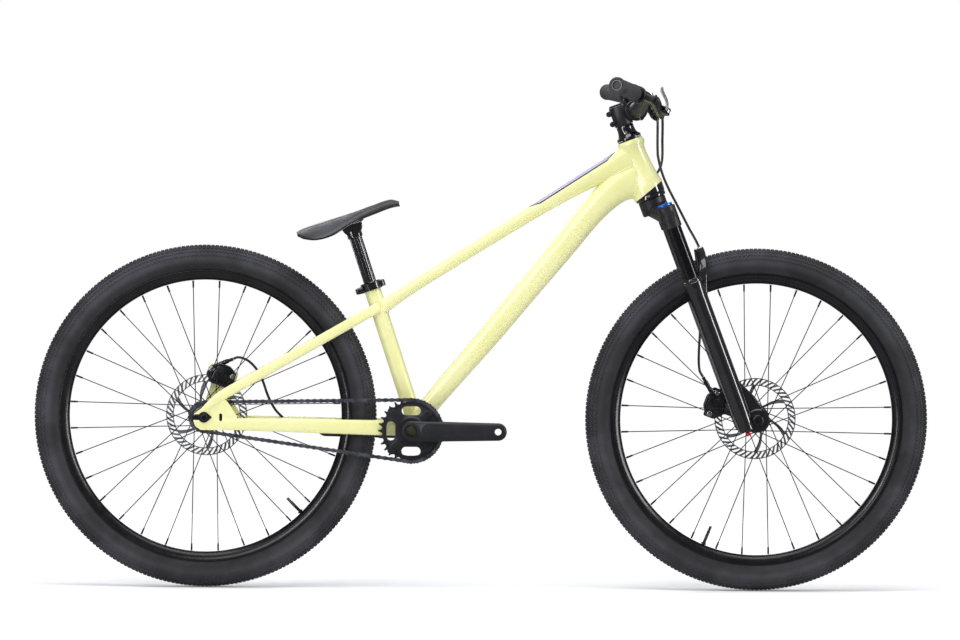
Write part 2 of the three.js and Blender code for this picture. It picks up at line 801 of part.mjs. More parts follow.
// Side plates swell at each roller and draw in between, and the rollers join the two sides
function chainShape() {
  const rollers = chainPath();
  const count = rollers.length;
  const edge = (offsetSign) => rollers.flatMap((point, k) => {
    const next = rollers[(k + 1) % count];
    const previous = rollers[(k + count - 1) % count];
    const along = next.clone().sub(previous).normalize();
    const link = next.clone().sub(point).normalize();
    const bulge = new THREE.Vector2(-along.y, along.x).multiplyScalar(offsetSign * chainPlateHeight / 2);
    const waist = new THREE.Vector2(-link.y, link.x).multiplyScalar(offsetSign * chainPlateWaist / 2);
    return [point.clone().add(bulge), point.clone().lerp(next, 1 / 2).add(waist)];
  });
  const shape = new THREE.Shape(edge(-1));
  shape.holes.push(new THREE.Path(edge(1)));
  const inner = chainInnerWidth / 2;
  const outer = inner + chainPlateThickness;
  const plates = [
    sidePlate(shape, -chainLine - outer, -chainLine - inner, 1),
    sidePlate(shape, inner - chainLine, outer - chainLine, 1),
  ];
  const half = inner + chainPlateThickness / 4;
  const pins = rollers.map((point) => {
    const roller = barY(chainRollerDiameter, -chainLine - half, half - chainLine, rollerSides);
    return moved(roller, point.x, 0, point.y);
  });
  return join(plates[0], plates[1], ...pins);
}

const chainringBoltRadius = pitchRadius(ringTeeth) - chainPlateHeight / 2 - 2 * gap - spiderTabDiameter / 2;

// The right arm carries a four-armed spider, whose tabs hold the chainring from outside
function spiderShape() {
  const low = -chainLine - ringThickness / 2 - gap - spiderThickness;
  const high = -chainLine - ringThickness / 2 - gap;
  const reach = chainringBoltRadius;
  const arm = () => {
    const strap = strapShape(spiderArmWidth, reach, spiderTabDiameter / 2, roundingSteps);
    return sidePlate(strap, low, high, 1);
  };
  const bolt = () => join(
    barY(ringBoltDiameter, low, 3 * ringThickness / 2 - chainLine, boltSides),
    barY(ringBoltHead, low - ringThickness / 2, low + ringThickness, boltSides),
    barY(ringBoltHead, ringThickness / 2 + gap - chainLine, 3 * ringThickness / 2 - chainLine, boltSides),
  ).translate(reach, 0, 0);
  const place = (shape, k) => shape.rotateY(-(PI / 4 + k * 2 * PI / spiderArms));
  return Array.from({ length: spiderArms }, (_, k) => place(join(arm(), bolt()), k));
}

// A crank arm: a chamfered strap from the spindle's boss to the pedal's eye, drawn along +X
// for the right side, with its outer face at half the spread of the two pedal faces
function crankArm(withSpider) {
  const face = -crankFaceSpread / 2;
  const strap = (inset) => strapShape(
    crankBossDiameter / 2 - inset, crankLength, crankEndDiameter / 2 - inset, roundingSteps,
  );
  const outline = strap(0);
  const inset = strap(crankChamfer);
  const arm = sidePlate(outline, face + crankChamfer / 2, face + crankThickness, 1);
  const raised = sidePlate(inset, face, face + crankChamfer, 1);
  const inboard = -shellWidth / 2 - cupWidth - gap;
  const boss = barY(crankBossDiameter - crankChamfer, face + crankChamfer, inboard, tubeSides);
  const tools = [
    barY(spindleDiameter + 2 * gap, face - overrun, inboard + overrun, tubeSides),
    moved(barY(pedalHoleDiameter, face - overrun, face + crankThickness + overrun), crankLength, 0, 0),
  ];
  const spider = withSpider ? spiderShape() : [];
  return cut(join(arm, raised, boss, ...spider), ...tools);
}

// Frame

const bottomShell = (growth) => barY(shellDiameter + 2 * growth, -shellWidth, shellWidth, tubeSides);
const seatTubeOutside = (growth) => inFrame(
  barZ(seatTubeDiameter + 2 * growth, seatTubeFoot - growth, seatTubeLength + growth, tubeSides),
  seatPlace,
);

function headTubeProfile(growth) {
  const top = headTubeLength;
  return [
    [0, -overrun], [headTubeFootDiameter / 2 + growth, -overrun],
    [headTubeFootDiameter / 2 + growth, headFootHeight],
    [headTubeWaistDiameter / 2 + growth, top - headWaistDrop],
    [headTubeFlareDiameter / 2 + growth, top - headFlareDrop],
    [headTubeTopDiameter / 2 + growth, top + growth], [0, top + growth],
  ];
}

// The lower end is cut on a slant, deeper at the front, from the crown side
function belowHeadCut(lift) {
  const radius = headTubeFootDiameter / 2;
  const rise = headCutFront - headCutRear;
  const slope = rise / (2 * radius);
  const reach = 2 * headTubeFootDiameter;
  const height = (forward) => headCutRear + (forward + radius) * slope + lift;
  const outline = polygonShape([
    [-reach, -reach], [reach, -reach], [reach, height(reach)], [-reach, height(-reach)],
  ]);
  return sidePlate(outline, -reach, reach, 1);
}

const headTubeOutside = (growth) => inFrame(turnedZ(headTubeProfile(growth), tubeSides), steeringPlace);

function headTubeShape() {
  const outside = turnedZ(headTubeProfile(0), tubeSides);
  const bore = barZ(headTubeBore, -headTubeLength, 2 * headTubeLength, tubeSides);
  return inFrame(cut(outside, bore, belowHeadCut(0)), steeringPlace);
}

// How square the tubes' sections are: two is round, and more is flatter sided
const frameTubeSquare = 2.8;
const staySquare = 3;

// The tube's upper edge is straight, and its depth hangs below that line
const topTubeAlongShares = [0, 0.1, 0.35, 0.58, 0.78, 0.9, 1];
const topTubeDepthShares = [0.47, 0.4, 0.41, 0.45, 0.55, 0.72, 0.98];
const topTubeWidthShares = [0.66, 0.7, 0.76, 0.84, 0.92, 1, 1];

function topTubeStations(growth) {
  const rear = seatPoint(0, 0, topTubeJoin);
  const front = steerPoint(-topTubeReach, 0, topTubeHead);
  const along = front.clone().sub(rear).normalize();
  const below = new THREE.Vector3(along.z, 0, -along.x);
  return topTubeAlongShares.map((share, k) => {
    const depth = topTubeDepth * topTubeDepthShares[k];
    const at = rear.clone().lerp(front, share).addScaledVector(below, depth / 2);
    const width = topTubeWidth * topTubeWidthShares[k] + 2 * growth;
    return { at, width, depth: depth + 2 * growth, square: frameTubeSquare };
  });
}

// The down tube bows forward and deepens towards the head
const downTubeAlongShares = [0.02, 0.12, 0.335, 0.555, 0.72, 0.83, 0.93, 1];
const downTubeBowShares = [0.1, 0.28, 0.42, 0.67, 0.84, 1, 0.8, 0];
const downTubeDepthShares = [0.52, 0.56, 0.63, 0.68, 0.71, 0.75, 0.9, 1.12];
const downTubeWidthShares = [0.95, 0.95, 0.86, 0.86, 0.9, 0.94, 0.94, 0.9];

function downTubeStations(growth) {
  const rear = new THREE.Vector3();
  const front = steerPoint(-downTubeReach, 0, downTubeHead);
  const along = front.clone().sub(rear).normalize();
  const above = new THREE.Vector3(-along.z, 0, along.x);
  return downTubeAlongShares.map((share, k) => {
    const at = rear.clone().lerp(front, share).addScaledVector(above, downTubeBow * downTubeBowShares[k]);
    const width = downTubeWidth * downTubeWidthShares[k] + 2 * growth;
    const depth = downTubeDepth * downTubeDepthShares[k] + 2 * growth;
    return { at, width, depth, square: frameTubeSquare };
  });
}

const downTubeOutside = (growth) => loft(downTubeStations(growth), tubeSides);

function downTubeShape() {
  return cut(downTubeOutside(0), headTubeOutside(gap), seatTubeOutside(gap), bottomShell(gap));
}

function topTubeShape() {
  const tube = loft(topTubeStations(0), tubeSides);
  return cut(tube, headTubeOutside(gap), seatTubeOutside(gap), downTubeOutside(gap));
}

function seatTubeShape() {
  const tube = barZ(seatTubeDiameter, seatTubeFoot, seatTubeLength, tubeSides);
  const bore = barZ(seatTubeBore, boreFoot, seatTubeLength + overrun, tubeSides);
  return cut(inFrame(cut(tube, bore), seatPlace), bottomShell(gap));
}

// Shares of the dropout's length, rise and fall, from its rear end
const dropoutTailShare = 0.2;
const dropoutHoodShare = 0.06;
const dropoutPeakShare = 0.68;
const dropoutFrontShare = 0.1;
const dropoutShoulderShare = 0.3;
const dropoutToeShare = 0.16;

// Dropout plates: a hooded outline with a slot for the axle that opens to the rear
function dropoutOutline(growth) {
  const back = rearHub.x - dropoutTail - growth;
  const front = rearHub.x + dropoutReach + growth;
  const low = rearHub.z - dropoutFall - growth;
  const high = rearHub.z + dropoutRise + growth;
  const reach = dropoutReach + dropoutTail;
  const hood = back + reach * dropoutHoodShare;
  const toe = front + reach * dropoutToeShare;
  return [
    [back, rearHub.z - dropoutFall * dropoutTailShare], [hood, rearHub.z + dropoutFall * dropoutTailShare],
    [back + reach * dropoutPeakShare, high],
    [front - reach * dropoutFrontShare, high - dropoutRise * dropoutShoulderShare],
    [toe, rearHub.z + dropoutFall * dropoutFrontShare], [toe, low],
    [back + reach * dropoutTailShare, low], [hood, low + dropoutFall * dropoutShoulderShare],
  ];
}

const dropoutInner = rearHubWidth / 2;
const dropoutOuter = dropoutInner + dropoutThickness;

function dropoutShape(withBrakeTab) {
  const shape = polygonShape(dropoutOutline(0));
  const plate = sidePlate(shape, dropoutInner, dropoutOuter, 1);
  const slotHalf = axleStubDiameter / 2 + dropoutSlotClearance;
  const slot = block(
    [rearHub.x - 2 * dropoutTail, dropoutInner - overrun, rearHub.z - slotHalf],
    [rearHub.x + dropoutSlotReach, dropoutOuter + overrun, rearHub.z + slotHalf],
  );
  const middle = rearHub.x + tensionerSlotPlace;
  const windowWidth = tensionerSlotWidth / 2;
  const windowHeight = tensionerSlotHeight / 2;
  const window = block(
    [middle - windowWidth, dropoutInner - overrun, rearHub.z - windowHeight],
    [middle + windowWidth, dropoutOuter + overrun, rearHub.z + windowHeight],
  );
  const whole = withBrakeTab ? join(plate, rearBrakeTab()) : plate;
  return cut(whole, slot, window);
}

function rearBrakeTab() {
  const tab = brakeTab(rearCaliperAngle, dropoutInner + brakeTabOverlap);
  return moved(tab, rearHub.x, 0, rearHub.z);
}

const dropoutOutside = (growth) => sidePlate(
  polygonShape(dropoutOutline(growth)), dropoutInner - growth, dropoutOuter + growth, 1,
);

// The space that a brake tab needs inside the stay that crosses it
function brakeTabRoom() {
  const inner = caliperReach - caliperDepth;
  const half = caliperLength / 2;
  const outline = polygonShape([
    [brakeTabFoot - gap, -half - gap], [inner + half, -half - gap],
    [inner + half, half + gap], [brakeTabFoot - gap, half + gap],
  ]);
  const low = dropoutInner - overrun - caliperWidth;
  const room = sidePlate(outline, low, dropoutInner + brakeTabOverlap + gap, 1);
  return room.rotateY(-radians(rearCaliperAngle)).translate(rearHub.x, 0, rearHub.z);
}

// Stays swing out round the tyre and slot over the dropout plates
const chainstayAlongShares = [0.03, 0.14, 0.3, 0.5, 0.74, 0.93];
const chainstaySpreadShares = [0, 0.3, 0.46, 0.62, 0.86, 1];
const chainstayDepthShares = [1, 1, 0.96, 0.9, 0.82, 0.76];

function chainstayOutside(growth) {
  const end = dropoutInner + dropoutThickness / 2;
  const stations = chainstayAlongShares.map((share, k) => {
    const x = rearHub.x * share;
    const y = blend(chainstayStartSpread, end, chainstaySpreadShares[k]);
    const z = blend(chainstayStartRise, rearHub.z - chainstayBulge, share);
    const at = new THREE.Vector3(x, y, z);
    const depth = chainstayDepth * chainstayDepthShares[k] + 2 * growth;
    return { at, width: chainstayWidth + 2 * growth, depth, square: staySquare };
  });
  return loft(stations, staySides);
}

const chainstayShape = () => cut(chainstayOutside(0), bottomShell(gap), dropoutOutside(gap));

const seatstayAlongShares = [0, 0.07, 0.2, 0.38, 0.7, 0.93];
const seatstaySpreadShares = [0, 0.2, 0.42, 0.56, 0.8, 1];

function seatstayShape(tools) {
  const end = dropoutInner + dropoutThickness / 2;
  const top = seatPoint(0, 0, seatstayJoin);
  const foot = rearHub.clone().add(new THREE.Vector3(0, 0, dropoutRise / 2));
  const stations = seatstayAlongShares.map((share, k) => {
    const at = top.clone().lerp(foot, share);
    at.y = blend(seatstayStartSpread, end, seatstaySpreadShares[k]);
    return { at, width: seatstayWidth, depth: seatstayDepth, square: staySquare };
  });
  const stay = loft(stations, staySides);
  return cut(stay, seatTubeOutside(gap), dropoutOutside(gap), topTubeOutside(gap), ...tools);
}

const topTubeOutside = (growth) => loft(topTubeStations(growth), tubeSides);

const collarBoltShare = 0.45;
const collarBoltReachShare = 0.7;

// A split clamp with two rear lugs and a cross bolt
function seatCollarShape() {
  const top = seatTubeLength - collarDrop;
  const low = top - collarWidth;
  const bore = seatTubeDiameter + 2 * gap;
  const outer = seatTubeDiameter + 2 * collarThickness;
  const back = -outer / 2 - collarLugLength;
  const lug = block([back, -collarLugWidth / 2, low], [0, collarLugWidth / 2, top]);
  const slot = block([back - overrun, -collarSlot / 2, low - overrun], [0, collarSlot / 2, top + overrun]);
  const hole = barZ(bore, low - overrun, top + overrun, tubeSides);
  const boltReach = collarLugWidth * collarBoltReachShare;
  const bolt = barY(collarWidth * collarBoltShare, -boltReach, boltReach, boltSides);
  const bolted = moved(bolt, back + collarLugLength / 2, 0, (low + top) / 2);
  const ring = barZ(outer, low, top, tubeSides);
  return join(cut(join(ring, lug), slot, hole), bolted);
}

function bottomBracketShape() {
  return ringY(shellDiameter, shellBore, -shellWidth / 2, shellWidth / 2, tubeSides);
}

// A threaded cup holds its bearing just outside the shell
function bottomCupShape() {
  const face = shellWidth / 2 + gap;
  const bore = spindleDiameter / 2 + gap;
  const profile = [
    [bore, face - cupWidth], [shellBore / 2 - gap, face - cupWidth], [shellBore / 2 - gap, face],
    [cupDiameter / 2, face], [cupDiameter / 2, face + cupWidth - 2 * gap], [bore, face + cupWidth - 2 * gap],
  ];
  return turnedY(profile, tubeSides);
}

function spindleShape() {
  const end = crankFaceSpread / 2 - crankChamfer / 2;
  return ringY(spindleDiameter, spindleBore, -end, end, tubeSides);
}

// Seat

// A fluted post whose head is a toothed half drum under the saddle
function seatpostShape() {
  const points = [];
  const count = postFlutes * 2;
  for (let k = 0; k < count; k += 1) {
    const radius = postDiameter / 2 - (k % 2) * postFluteDepth;
    points.push(polar(radius, 2 * PI * k / count));
  }
  const low = seatTubeLength - postInsertion;
  const high = seatTubeLength + postExposed;
  const settings = { depth: high - low, bevelEnabled: false };
  const shaft = new THREE.ExtrudeGeometry(new THREE.Shape(points), settings).translate(0, 0, low);
  const drum = barY(postHeadDiameter, -postHeadWidth / 2, postHeadWidth / 2, tubeSides);
  const bolt = barZ(saddleBoltDiameter + 2 * gap, boltFoot - gap, 2 * high, pinSides);
  return cut(join(shaft, moved(drum, 0, 0, high + postHeadRise)), saddleAbove(), bolt);
}

const boltFoot = seatTubeLength + postExposed + saddleHeight - saddleBoltLength;

// The saddle is wide and drooping at the tail and narrow and nearly flat at the nose
const saddleAlongShares = [0, 0.05, 0.16, 0.3, 0.46, 0.6, 0.78, 0.93, 1];
const saddleWidthShares = [0.3, 0.72, 0.98, 1, 0.74, 0.44, 0.3, 0.26, 0.14];
const saddleDroopShares = [0.1, 0.5, 0.95, 1, 0.55, 0.22, 0.1, 0.1, 0.04];
const saddleThickShares = [0.5, 0.9, 1, 1, 1.05, 1.1, 1.15, 1.1, 0.5];
const saddleSagShares = [0.1, 0.12, 0.16, 0.2, 0.24, 0.22, 0.1, 0.02, 0.3];
const padSquare = 2.2;
const shellSquare = 2.6;
const roomSquare = 8;
const shellWidthShare = 0.86;
const shellDepthShare = 0.6;
const boltHeadDepthShare = 0.85;
const shellFirst = 1;
const shellPast = 8;
const saddleEnd = saddleAlongShares.length;

function saddleStations(drop, widthShare, thickness, square = padSquare, from = 0, to = saddleEnd) {
  const lean = radians(saddleTilt + seatAngle - quarterTurn);
  const forward = new THREE.Vector3(cos(lean), 0, sin(lean));
  const down = new THREE.Vector3(sin(lean), 0, -cos(lean));
  const middle = new THREE.Vector3(0, 0, seatTubeLength + postExposed + saddleHeight);
  return saddleAlongShares.slice(from, to).map((share, index) => {
    const k = index + from;
    const sag = saddleThickness * saddleSagShares[k];
    const at = middle.clone().addScaledVector(forward, saddleLength * share - saddleSetback);
    at.addScaledVector(down, sag + drop);
    return {
      at, width: saddleWidth * saddleWidthShares[k] * widthShare, depth: thickness(k),
      square, droop: saddleDroop * saddleDroopShares[k] * widthShare ** 2,
    };
  });
}

function saddlePadShape() {
  const pad = loft(saddleStations(0, 1, (k) => saddleThickness * saddleThickShares[k]), padSides);
  const hole = barZ(saddleHoleDiameter, seatTubeLength, 2 * seatTubeLength, smallSides);
  return cut(pad, hole);
}

const shellDrop = saddleThickness * shellDepthShare + saddleShellThickness / 2 + gap;

// The moulded base under the pad, with a hole for the bolt
function saddleShellShape() {
  const thickness = () => saddleShellThickness;
  const stations = saddleStations(shellDrop, shellWidthShare, thickness, shellSquare, shellFirst, shellPast);
  const padDepth = (k) => saddleThickness * saddleThickShares[k] + 2 * gap;
  const pad = loft(saddleStations(0, 1, padDepth), padSides);
  const hole = barZ(saddleBoltDiameter + 2 * gap, seatTubeLength, 2 * seatTubeLength, pinSides);
  const seat = moved(saddleHeadRoom(), 0, 0, gap);
  return cut(loft(stations, smallSides), pad, hole, seat);
}

// Everything above the base's underside, which the post's head must stay below
function saddleAbove() {
  const depth = 2 * postHeadDiameter;
  const drop = shellDrop + saddleShellThickness / 2 + gap - depth / 2;
  return loft(saddleStations(drop, shellWidthShare, () => depth, roomSquare), smallSides);
}

// The bolt's head sits on the base, inside the pad's hole
const saddleTopHeight = seatTubeLength + postExposed + saddleHeight;
const boltHeadFoot = saddleTopHeight - saddleThickness * boltHeadDepthShare;
const saddleHeadRoom = () => barZ(saddleHoleDiameter, boltHeadFoot, 2 * seatTubeLength, smallSides);

const boltCrownShare = 0.8;
const boltSocketShare = 0.4;

function saddleBoltShape() {
  const radius = saddleBoltHead / 2;
  const socket = radius * boltSocketShare;
  const top = boltHeadFoot + saddleBoltHeadThickness;
  const low = boltHeadFoot + 2 * gap;
  return turnedZ([
    [0, boltFoot], [saddleBoltDiameter / 2, boltFoot], [saddleBoltDiameter / 2, low], [radius, low],
    [radius, top - saddleBoltHeadThickness / 3], [radius * boltCrownShare, top], [socket, top],
    [socket, top - saddleBoltHeadThickness / 2], [0, top - saddleBoltHeadThickness / 2],
  ], pinSides);
}

// Steered pieces, drawn with +Z up the steering axis

function lowerCupShape() {
  const bore = steererDiameter / 2 + gap;
  const body = ringZ(lowerCupDiameter, 2 * bore, gap, headTubeLength / 2, tubeSides);
  const insert = ringZ(headTubeBore - 2 * gap, 2 * bore, gap, lowerCupInsert, tubeSides);
  const reach = 2 * headTubeFootDiameter;
  const room = block([-reach / 2, -reach / 2, 0], [reach / 2, reach / 2, reach / 2]);
  return join(cut(body, cut(room, belowHeadCut(-gap))), insert);
}

function upperCupShape() {
  const bore = steererDiameter / 2 + gap;
  const lip = headTubeLength + gap;
  const plug = headTubeBore / 2 - gap;
  return turnedZ([
    [bore, lip - upperCupInsert], [plug, lip - upperCupInsert], [plug, lip],
    [headTubeTopDiameter / 2, lip], [headTubeTopDiameter / 2, lip + upperCupLip], [bore, lip + upperCupLip],
  ], tubeSides);
}

const coverFoot = headTubeLength + upperCupLip + 2 * gap;
const coverTop = coverFoot + coverHeight;
const stemFoot = coverTop + gap;
const stemTop = stemFoot + stemClampHeight;
const barHeight = (stemFoot + stemTop) / 2;

const coverWaistShare = 0.72;
const coverLipShare = 0.1;
const coverWaistHeightShare = 0.45;

function coverShape() {
  const bore = steererDiameter / 2 + gap;
  const waist = blend(coverFootDiameter, coverTopDiameter, coverWaistShare);
  return turnedZ([
    [bore, coverFoot], [coverFootDiameter / 2, coverFoot],
    [coverFootDiameter / 2, coverFoot + coverHeight * coverLipShare],
    [waist / 2, coverFoot + coverHeight * coverWaistHeightShare],
    [coverTopDiameter / 2, coverTop], [bore, coverTop],
  ], tubeSides);
}

const stemNeckShares = [0, 0.5, 1];
const stemNeckEndShare = 0.9;
const stemNeckSquare = 4;
const stemLugShares = [0.24, 0.76];

// The stem clamps the steerer with two rear lugs and holds the rear half of the bar's clamp
function stemShape() {
  const clamp = barZ(stemClampDiameter, stemFoot, stemTop, tubeSides);
  const middle = (stemFoot + stemTop) / 2;
  const neck = loft(stemNeckShares.map((share) => ({
    at: new THREE.Vector3(stemReach * share, 0, middle),
    width: blend(stemNeckWidth, stemWidth * stemNeckEndShare, share ** 2),
    depth: stemNeckHeight, square: stemNeckSquare,
  })), smallSides);
  const barClamp = barClampDiameter + 2 * gap + 2 * faceplateWall;
  const eye = moved(barY(barClamp, -stemWidth / 2, stemWidth / 2, tubeSides), stemReach, 0, middle);
  const lugs = stemLugShares.map((share) => {
    const lug = barY(stemLugDiameter, -stemLugWidth / 2, stemLugWidth / 2, pinSides);
    return moved(lug, -stemLugReach, 0, blend(stemFoot, stemTop, share));
  });
  const lugWeb = block(
    [-stemLugReach, -stemLugWidth / 2, stemFoot + stemLugDiameter / 4],
    [0, stemLugWidth / 2, stemTop - stemLugDiameter / 4],
  );
  const past = stemReach + barClamp;
  const tools = [
    barZ(steererDiameter + 2 * gap, stemFoot - overrun, stemTop + overrun, tubeSides),
    moved(barY(barClampDiameter + 2 * gap, -stemWidth, stemWidth, tubeSides), stemReach, 0, middle),
    block(
      [stemReach - faceplateGap / 2, -stemWidth, stemFoot - overrun],
      [past, stemWidth, stemTop + overrun],
    ),
    block([-past, -collarSlot / 2, stemFoot - overrun], [0, collarSlot / 2, stemTop + overrun]),
  ];
  return cut(join(clamp, neck, eye, lugWeb, ...lugs), ...tools);
}

const faceplatePadShare = 1.6;
const faceplateWindowShare = 0.2;

// The faceplate is the front half of the bar's clamp, with four bolt pads and a window
function faceplateShape() {
  const middle = (stemFoot + stemTop) / 2;
  const inner = barClampDiameter / 2 + gap;
  const outer = inner + faceplateWall;
  const shell = barY(2 * outer, -stemWidth / 2, stemWidth / 2, tubeSides);
  const padReach = faceplateWall * faceplatePadShare;
  const pad = (up) => block(
    [0, -stemWidth / 2, up - faceplateWall],
    [padReach, stemWidth / 2, up + faceplateWall],
  );
  const padHeight = outer - faceplateWall / 2;
  const window = stemWidth * faceplateWindowShare;
  const past = 2 * outer;
  const tools = [
    barY(2 * inner, -stemWidth, stemWidth, tubeSides),
    block([-past, -stemWidth, -past], [faceplateGap / 2, stemWidth, past]),
    block([inner - overrun, -window, -outer / 2], [past, window, outer / 2]),
  ];
  const plate = cut(join(shell, pad(padHeight), pad(-padHeight)), ...tools);
  return moved(plate, stemReach, 0, middle);
}

const topCapSocketShare = 0.17;

function topCapShape() {
  const low = stemTop + gap;
  const socket = topCapDiameter * topCapSocketShare;
  return turnedZ([
    [0, low], [topCapDiameter / 2, low], [topCapDiameter / 2, low + topCapThickness / 2],
    [topCapDiameter / 2 - topCapThickness / 2, low + topCapThickness],
    [socket, low + topCapThickness], [socket, low + topCapThickness / 2], [0, low + topCapThickness / 2],
  ], tubeSides);
}

// The bar: thick and straight in the stem, then it rises, bends and sweeps back to the grips
const bendPoint = new THREE.Vector3(stemReach + barBendForward, barBendSpread, barHeight + barBendRise);
const barEnd = new THREE.Vector3(
  bendPoint.x - barSweep, barWidth / 2, bendPoint.z + barUpsweep,
);
const barLine = barEnd.clone().sub(bendPoint).normalize();
const endFrame = (() => {
  const across = new THREE.Vector3(1, 0, 0);
  across.addScaledVector(barLine, -barLine.x).normalize();
  const up = across.clone().cross(barLine);
  return new THREE.Matrix4().makeBasis(across, barLine, up).setPosition(bendPoint);
})();
const endLength = barEnd.distanceTo(bendPoint);

const barSpreadShares = [0, 0.32, 0.5, 0.72, 0.86, 1];
const barRiseShares = [0, 0, 0.08, 0.5, 0.82, 1];

function barShape() {
  const half = barSpreadShares.map((share, k) => ({
    at: new THREE.Vector3(
      blend(stemReach, bendPoint.x, barRiseShares[k]), share * barBendSpread,
      blend(barHeight, bendPoint.z, barRiseShares[k]),
    ),
    size: k < 2 ? barClampDiameter : blend(barClampDiameter, barEndDiameter, barRiseShares[k]),
  }));
  const tip = barEnd.clone().addScaledVector(barLine, -gripEndThickness - gap);
  const tail = { at: tip, size: barEndDiameter };
  const left = [...half, tail];
  const mirrored = ({ at, size }) => ({ at: new THREE.Vector3(at.x, -at.y, at.z), size });
  const right = left.slice(1).map(mirrored).reverse();
  const stations = [...right, ...left].map(({ at, size }) => ({ at, width: size, depth: size }));
  return loft(stations, smallSides, new THREE.Vector3(1, 0, 0));
}

// A lock-on grip: inner clamp ring, ribbed sleeve, end flange and a closed end
function gripShape() {
  const bore = barEndDiameter / 2 + gap;
  const low = endLength - gripLength;
  const flange = gripFlangeDiameter / 2;
  const sleeve = gripDiameter / 2;
  const profile = [
    [0, endLength - gripEndThickness], [bore, endLength - gripEndThickness], [bore, low],
    [flange - gap, low], [flange - gap, low + 2 * gripFlangeThickness],
    [sleeve, low + 3 * gripFlangeThickness], [sleeve, endLength - 2 * gripFlangeThickness],
    [flange, endLength - gripFlangeThickness], [flange, endLength - gripFlangeThickness / 3],
    [sleeve - gripFlangeThickness / 2, endLength], [0, endLength],
  ];
  return inFrame(turnedY(profile, smallSides), endFrame);
}

// Brake levers are drawn from the clamp's centre, with +X away from the bar and +Y outward
const leverClampAt = endLength - leverPlace;
const leverFrame = endFrame.clone().multiply(new THREE.Matrix4().makeTranslation(0, leverClampAt, 0));
leverFrame.multiply(new THREE.Matrix4().makeRotationY(radians(leverTilt)));
leverFrame.multiply(new THREE.Matrix4().makeRotationX(radians(leverSkew)));
const pivotAlong = -leverPivotInset;

function leverBodyShape() {
  const low = leverClampAt - leverClampWidth / 2;
  const high = leverClampAt + leverClampWidth / 2;
  const clamp = inFrame(barY(leverClampDiameter, low, high, smallSides), endFrame);
  const cylinderEnd = leverCylinderLength - leverCylinderInset;
  const cylinder = barY(leverCylinderDiameter, -leverCylinderInset, cylinderEnd, smallSides);
  const neck = block(
    [leverClampDiameter / 2 - leverEarThickness, -leverNeckLength, -leverClampWidth / 2],
    [leverCylinderReach, leverClampWidth / 2, leverClampWidth / 2],
  );
  const earHalf = leverBladeThickness / 2 + gap;
  const earOuter = earHalf + leverEarThickness;
  const boss = leverBossDiameter;
  const ears = block(
    [leverCylinderReach, pivotAlong - boss / 2, -earOuter],
    [leverPivotReach + boss / 2, pivotAlong + boss / 2, earOuter],
  );
  const slot = block(
    [leverCylinderReach + leverCylinderDiameter / 2, pivotAlong - boss, -earHalf],
    [leverPivotReach + boss, pivotAlong + boss, earHalf],
  );
  const pinHalf = earHalf + gap;
  const pin = moved(barZ(leverPinDiameter, -pinHalf, pinHalf, pinSides), leverPivotReach, pivotAlong, 0);
  const cast = join(cut(join(moved(cylinder, leverCylinderReach, 0, 0), neck, ears), slot), pin);
  const bore = barY(barEndDiameter + 2 * gap, low - leverNeckLength, high + leverNeckLength);
  return cut(join(clamp, inFrame(cast, leverFrame)), inFrame(bore, endFrame));
}

// A curved blade for one or two fingers, with an eye round the pivot and a small hook at the tip
const bladeAlongShares = [0.16, 0.38, 0.62, 0.85, 1];
const bladeOffsetShares = [0.35, 0.8, 0.86, 0.72, 0.95];
const bladeWidthShares = [0.9, 0.8, 0.85, 0.9, 0.7];
const bladeRootShare = 0.3;

function leverBladeShape() {
  const centre = (share, offset) => new THREE.Vector2(
    leverPivotReach + offset * leverBladeWidth, pivotAlong + share * leverBladeLength,
  );
  const front = bladeAlongShares.map((share, k) => {
    const at = centre(share, bladeOffsetShares[k]);
    return [at.x + leverBladeWidth * bladeWidthShares[k] / 2, at.y];
  });
  const back = bladeAlongShares.map((share, k) => {
    const at = centre(share, bladeOffsetShares[k]);
    return [at.x - leverBladeWidth * bladeWidthShares[k] / 2, at.y];
  }).reverse();
  const half = leverBladeThickness / 2;
  const root = leverBossDiameter * bladeRootShare;
  const start = [[leverPivotReach - root, pivotAlong], [leverPivotReach + root, pivotAlong]];
  const outline = polygonShape([...start, ...front, ...back]);
  const settings = { depth: 2 * half, bevelEnabled: false };
  const blade = new THREE.ExtrudeGeometry(outline, settings).translate(0, 0, -half);
  const slotStart = leverCylinderReach + leverCylinderDiameter / 2;
  const bossRadius = min(leverBossDiameter / 2, leverPivotReach - slotStart - gap);
  const boss = moved(barZ(2 * bossRadius, -half, half, smallSides), leverPivotReach, pivotAlong, 0);
  const eye = barZ(leverPinDiameter + 2 * gap, -overrun, overrun, pinSides);
  return cut(join(blade, boss), moved(eye, leverPivotReach, pivotAlong, 0));
}

const crownArmShares = [0, 0.35, 0.7, 1];
const crownArmFallPower = 0.8;
const crownRootShare = 0.85;
const crownEndShare = 0.9;
const crownArmSquare = 3;

